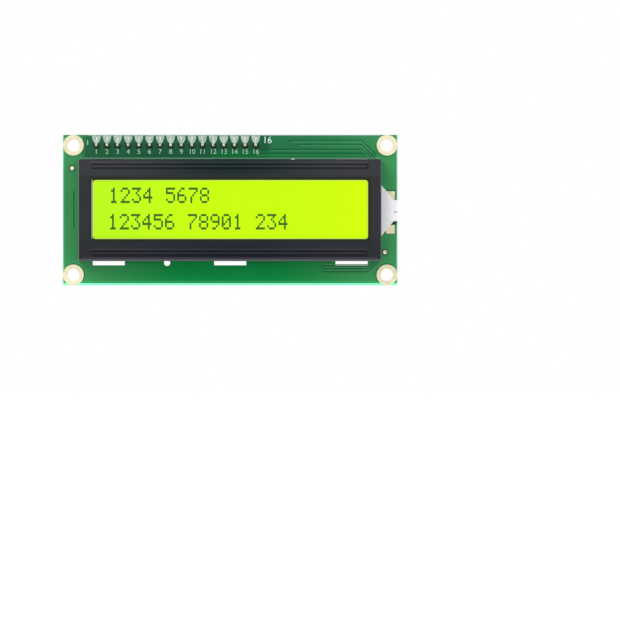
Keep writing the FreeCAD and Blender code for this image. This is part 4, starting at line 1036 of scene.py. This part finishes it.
def back_print():
    """Outlines round the chips, the bare lands and the epoxy drops, with plain numbers."""
    runs = split_frame(60.3, 5.55, 5.0, 2.7, 0.8)
    for across, downs, wide, deep, gap in ((9.2, (20.3, 22.3, 24.7), 3.5, 1.85, 0.5),
                                           (16.85, (21.9, 24.6), 3.3, 2.1, 0.4)):
        for down in downs:
            runs += split_frame(across, down, wide, deep, gap)
    runs += [ring_run(*place, 2.1, 24) for place in TEST_DOTS]
    notch = [(69.1 + 0.5 * math.cos(turn), 13.8 + 0.5 * math.sin(turn))
             for turn in (math.pi * step / 6 for step in range(7))]
    package, _ = line_run((67.8, 13.8), (67.8, 19.15), (70.4, 19.15), (70.4, 13.8), *notch)
    drawn(BACK, runs + [(package, True)], 0.26, "back_lines", "silk_ink")
    thick = []
    for down in CAPACITORS_DOWN:
        thick += split_frame(69.75, down, 5.6, 2.5, 0.5)
    rng = random.Random(5)
    for across, down, diameter in ((27.0, 19.0, 12.7), (53.2, 17.6, 11.1)):
        points, closed = ring_run(across, down, diameter, 72)
        x, z = on_board(across, down)
        points = [(x + (px - x) * share, z + (pz - z) * share) for px, pz, share in
                  ((px, pz, rng.uniform(0.985, 1.012)) for px, pz in points)]
        thick.append((points, closed))
    drawn(BACK, thick, 0.36, "back_bands", "silk_ink")
    bar = block(1.0, 2.5, 0.08, 0.02)
    spread(bar, [on_face(BACK, 67.45, down) for down in CAPACITORS_DOWN], "back_bars", "silk_ink")
    outlines = [frame_run(across, down, 1.85, 1.95) for across in (68.75, 71.05) for down in CAPACITORS_DOWN]
    drawn(BACK, outlines, 0.22, "pad_outlines", "flux_shadow", 0.04)
    signs = [("1", 71.6, 10.5), ("2", 69.2, 10.5), ("3", 66.6, 10.5), ("+", 66.0, 20.9), ("+", 66.0, 24.45),
             ("3", 63.0, 18.2), ("1", 73.6, 20.9), ("2", 73.6, 24.45), ("2", 57.2, 23.9), ("1", 32.2, 24.9),
             ("3", 19.3, 26.9), ("2", 12.9, 22.3), ("1", 12.9, 24.7), ("8", 64.4, 4.5), ("+", 78.2, 11.9),
             ("-", 78.2, 25.0)]
    lettering(BACK, signs, 1.55, "back_numbers", "silk_ink")
    lettering(BACK, [("16", 48.75, 1.35)], 1.6, "back_row_end", "silk_ink")


def deck_print():
    """Outlines and plain numbers on the black board."""
    runs = [line_run(*places) for places in (
        ((6.25, 1.2), (6.25, 3.62), (47.2, 3.62), (47.2, 1.2)),
        ((42.8, 6.3), (43.7, 6.3), (43.7, 7.6), (42.8, 7.6)),
        ((41.7, 6.3), (40.8, 6.3), (40.8, 7.6), (41.7, 7.6)),
        ((43.1, 9.0), (43.1, 9.7)),
        ((41.2, 9.0), (41.2, 9.7)),
        ((44.2, 13.2), (44.2, 16.2)),
        ((6.2, 5.0), (8.75, 5.0), (8.75, 15.7), (6.2, 15.7)),
        ((47.4, 6.4), (45.0, 6.4), (45.0, 11.9), (47.4, 11.9)),
        ((30.62, 15.6), (30.62, 5.05), (22.8, 5.05), (22.8, 15.6)))]
    runs += [frame_run(across, 16.7, 1.5, 2.7, 0.35) for across in (12.4, 14.9, 17.4)]
    runs += [frame_run(*place, 4.3, 2.5) for place in LEVEL_CHIPS]
    runs += [frame_run(*place, 2.3, 4.3) for place in UPRIGHT_CHIPS + [TALL_CHIP]]
    runs += [frame_run(15.0, 9.1, 7.9, 7.9), frame_run(35.85, 8.05, 2.1, 4.5, 0.8),
             frame_run(43.1, 13.2, 2.1, 5.0, 0.9)]
    drawn(DECK, runs, 0.25, "deck_lines", "deck_silk_ink")
    signs = [("1", 10.0, 6.4), ("2", 10.0, 9.0), ("3", 10.0, 11.5), ("4", 10.0, 14.0), ("0", 12.4, 18.95),
             ("1", 14.9, 18.95), ("2", 17.4, 18.95), ("123", 45.7, 5.0), ("12345", 43.0, 18.0)]
    lettering(DECK, signs, 1.05, "deck_numbers", "deck_silk_ink")
    lettering(DECK, [("+", 44.2, 16.5)], 1.9, "deck_plus", "deck_silk_ink")


def chip_marks():
    """A small plain number on the top of each chip resistor."""
    marks = [("103", *place) for place in LEVEL_CHIPS] + [("472", *place, 90) for place in UPRIGHT_CHIPS]
    marks.append(("102", *TALL_CHIP, 90))
    lettering(face_of("deck_chip_cores", "back"), marks, 0.62, "deck_chip_marks", "chip_marking", 0.008)
    lettering(face_of("main_chip_cores", "back"), [("100", 60.3, 5.55)], 0.8, "main_chip_mark",
              "chip_marking", 0.008)


def deck_solder():
    """Solder at the chips' lands and on the feet of the sixteen-lead package."""
    land = block(1.0, 1.65, 0.07, 0.03)
    lamps = [(35.85, 8.0), (43.1, 13.3)]
    places = []
    for side in (-1.5, 1.5):
        places += [on_face(DECK, across + side, down) for across, down in LEVEL_CHIPS]
        places += [on_face(DECK, across, down + side, 90)
                   for across, down in UPRIGHT_CHIPS + [TALL_CHIP] + lamps]
    spread(land, places, "deck_lands", "deck_land")
    foot = tapered([(0.0, 0.46, 0.16), (0.4, 0.54, 0.3), (0.8, 0.64, 0.36), (1.25, 0.66, 0.28),
                    (1.6, 0.44, 0.08)], 5)
    (x0, x1), _, (z0, z1) = edges_of("expander_leads")
    half_lead, inset = 0.21, 0.35
    places = []
    for number in range(8):
        z = z0 + half_lead + (z1 - z0 - 2 * half_lead) * number / 7
        places += [spot(DECK, x0 + inset, z, -90), spot(DECK, x1 - inset, z, 90)]
    spread(foot, places, "expander_solder", "chip_end")


def trimmer_dial():
    """Dark ticks pressed round the trimmer's rotor, and the bright dot of its setting."""
    span_x, _, span_z = edges_of("trimmer_rotor")
    face = face_of("trimmer_body", "back")
    runs = []
    for number in range(20):
        turn = math.radians(18 * number)
        runs.append(([(middle(span_x) + reach * math.cos(turn), middle(span_z) + reach * math.sin(turn))
                      for reach in (1.55, 2.2 + 0.3 * (number % 2))], False))
    drawn(face, runs, 0.26, "trimmer_ticks", "trimmer_tick", 0.015)
    dot = mound(0.2, 16, [(0.02, 0.18), (0.03, 0.1)])
    dot.data.transform(on_face(face, 17.4, 10.85))
    settle(dot, "trimmer_dot", "deck_silk_ink")


def ear_details():
    """Two small metal tabs in the end of the lamp's ear, and painted shadows beside its neck."""
    tab = block(0.26, 0.34, 0.1, 0.03)
    shadow = block(0.9, 0.42, 0.03, 0.01)
    spread(tab, [on_face(EAR, *place, 90) for place in ((79.35, 18.4), (79.8, 18.5))], "ear_tabs",
           "lead_metal")
    spread(shadow, [on_face(FRONT, *place) for place in ((79.5, 16.0), (79.4, 21.0))], "ear_shadows",
           "flux_shadow")


# ---- camera and light


def camera():
    """The photo's straight view, with the module above and left of the middle as it stands there."""
    picture_width, distance, sensor = 148.3 * MM, 1.5, 36
    lens = bpy.data.cameras.new("camera")
    lens.sensor_width = sensor
    lens.lens = sensor * distance / picture_width
    lens.clip_start, lens.clip_end = 0.05, 20
    holder = placed("camera", lens)
    holder.location = (19.1 * MM, -distance, -23.9 * MM)
    holder.rotation_euler = (math.radians(90), 0, 0)
    bpy.context.scene.camera = holder


def lamps():
    """A strong and a weak soft light on each side of the module."""
    for name, place, power in (("key", (-0.5, -0.9, 0.7), 6.5), ("fill", (0.7, -0.8, 0.1), 3.0),
                               ("rear_key", (0.5, 0.9, 0.7), 6.5), ("rear_fill", (-0.7, 0.8, 0.1), 3.0)):
        lamp = bpy.data.lights.new(name, "AREA")
        lamp.shape = "DISK"
        lamp.size, lamp.energy = 0.7, power
        holder = placed(name, lamp)
        holder.location = place
        holder.rotation_euler = (-Vector(place)).to_track_quat("-Z", "Y").to_euler()


def surroundings():
    """A white room of even light, brighter to the camera than to the module."""
    shade = Shade("room", world=True)
    bpy.context.scene.world = shade.owner
    camera_ray, through_glass = [shade.node("LightPath", output=kind)
                                 for kind in ("Is Camera Ray", "Is Transmission Ray")]
    strength = 0.8 + 0.2 * camera_ray.most(through_glass)
    shade.node("OutputWorld", {}, [shade.node("Background", {}, {0: (1, 1, 1, 1), 1: strength})])


def floor():
    """A pale floor well below the module, with a veil of its own light for the camera alone."""
    fresh()
    bpy.ops.mesh.primitive_circle_add(vertices=96, radius=8, fill_type="NGON")
    edit()
    bpy.ops.transform.translate(value=(0, 0, -0.15))
    ground = done()
    ground.name = "floor"
    shade = Shade("floor")
    camera_ray = shade.node("LightPath", output="Is Camera Ray")
    pale = shade.blend("#eeeeee", "#f6f6f6", shade.noise(0.01))
    veil = shade.blend("#000000", "#ffffff", camera_ray)
    ground.data.materials.append(shade.finish(pale, 0.9, emission_color=veil, emission_strength=0.4,
                                              specular=0.0))


bpy.context.scene.view_settings.view_transform = "Standard"
for step in (dress_cad_nodes, rounded_cases, solder_joints, eyelets, epoxy_drops, lit_window,
             display_characters, bezel_beads, front_print, front_copper, back_copper, back_print,
             deck_print, chip_marks, deck_solder, trimmer_dial, ear_details, camera, lamps,
             surroundings, floor):
    step()
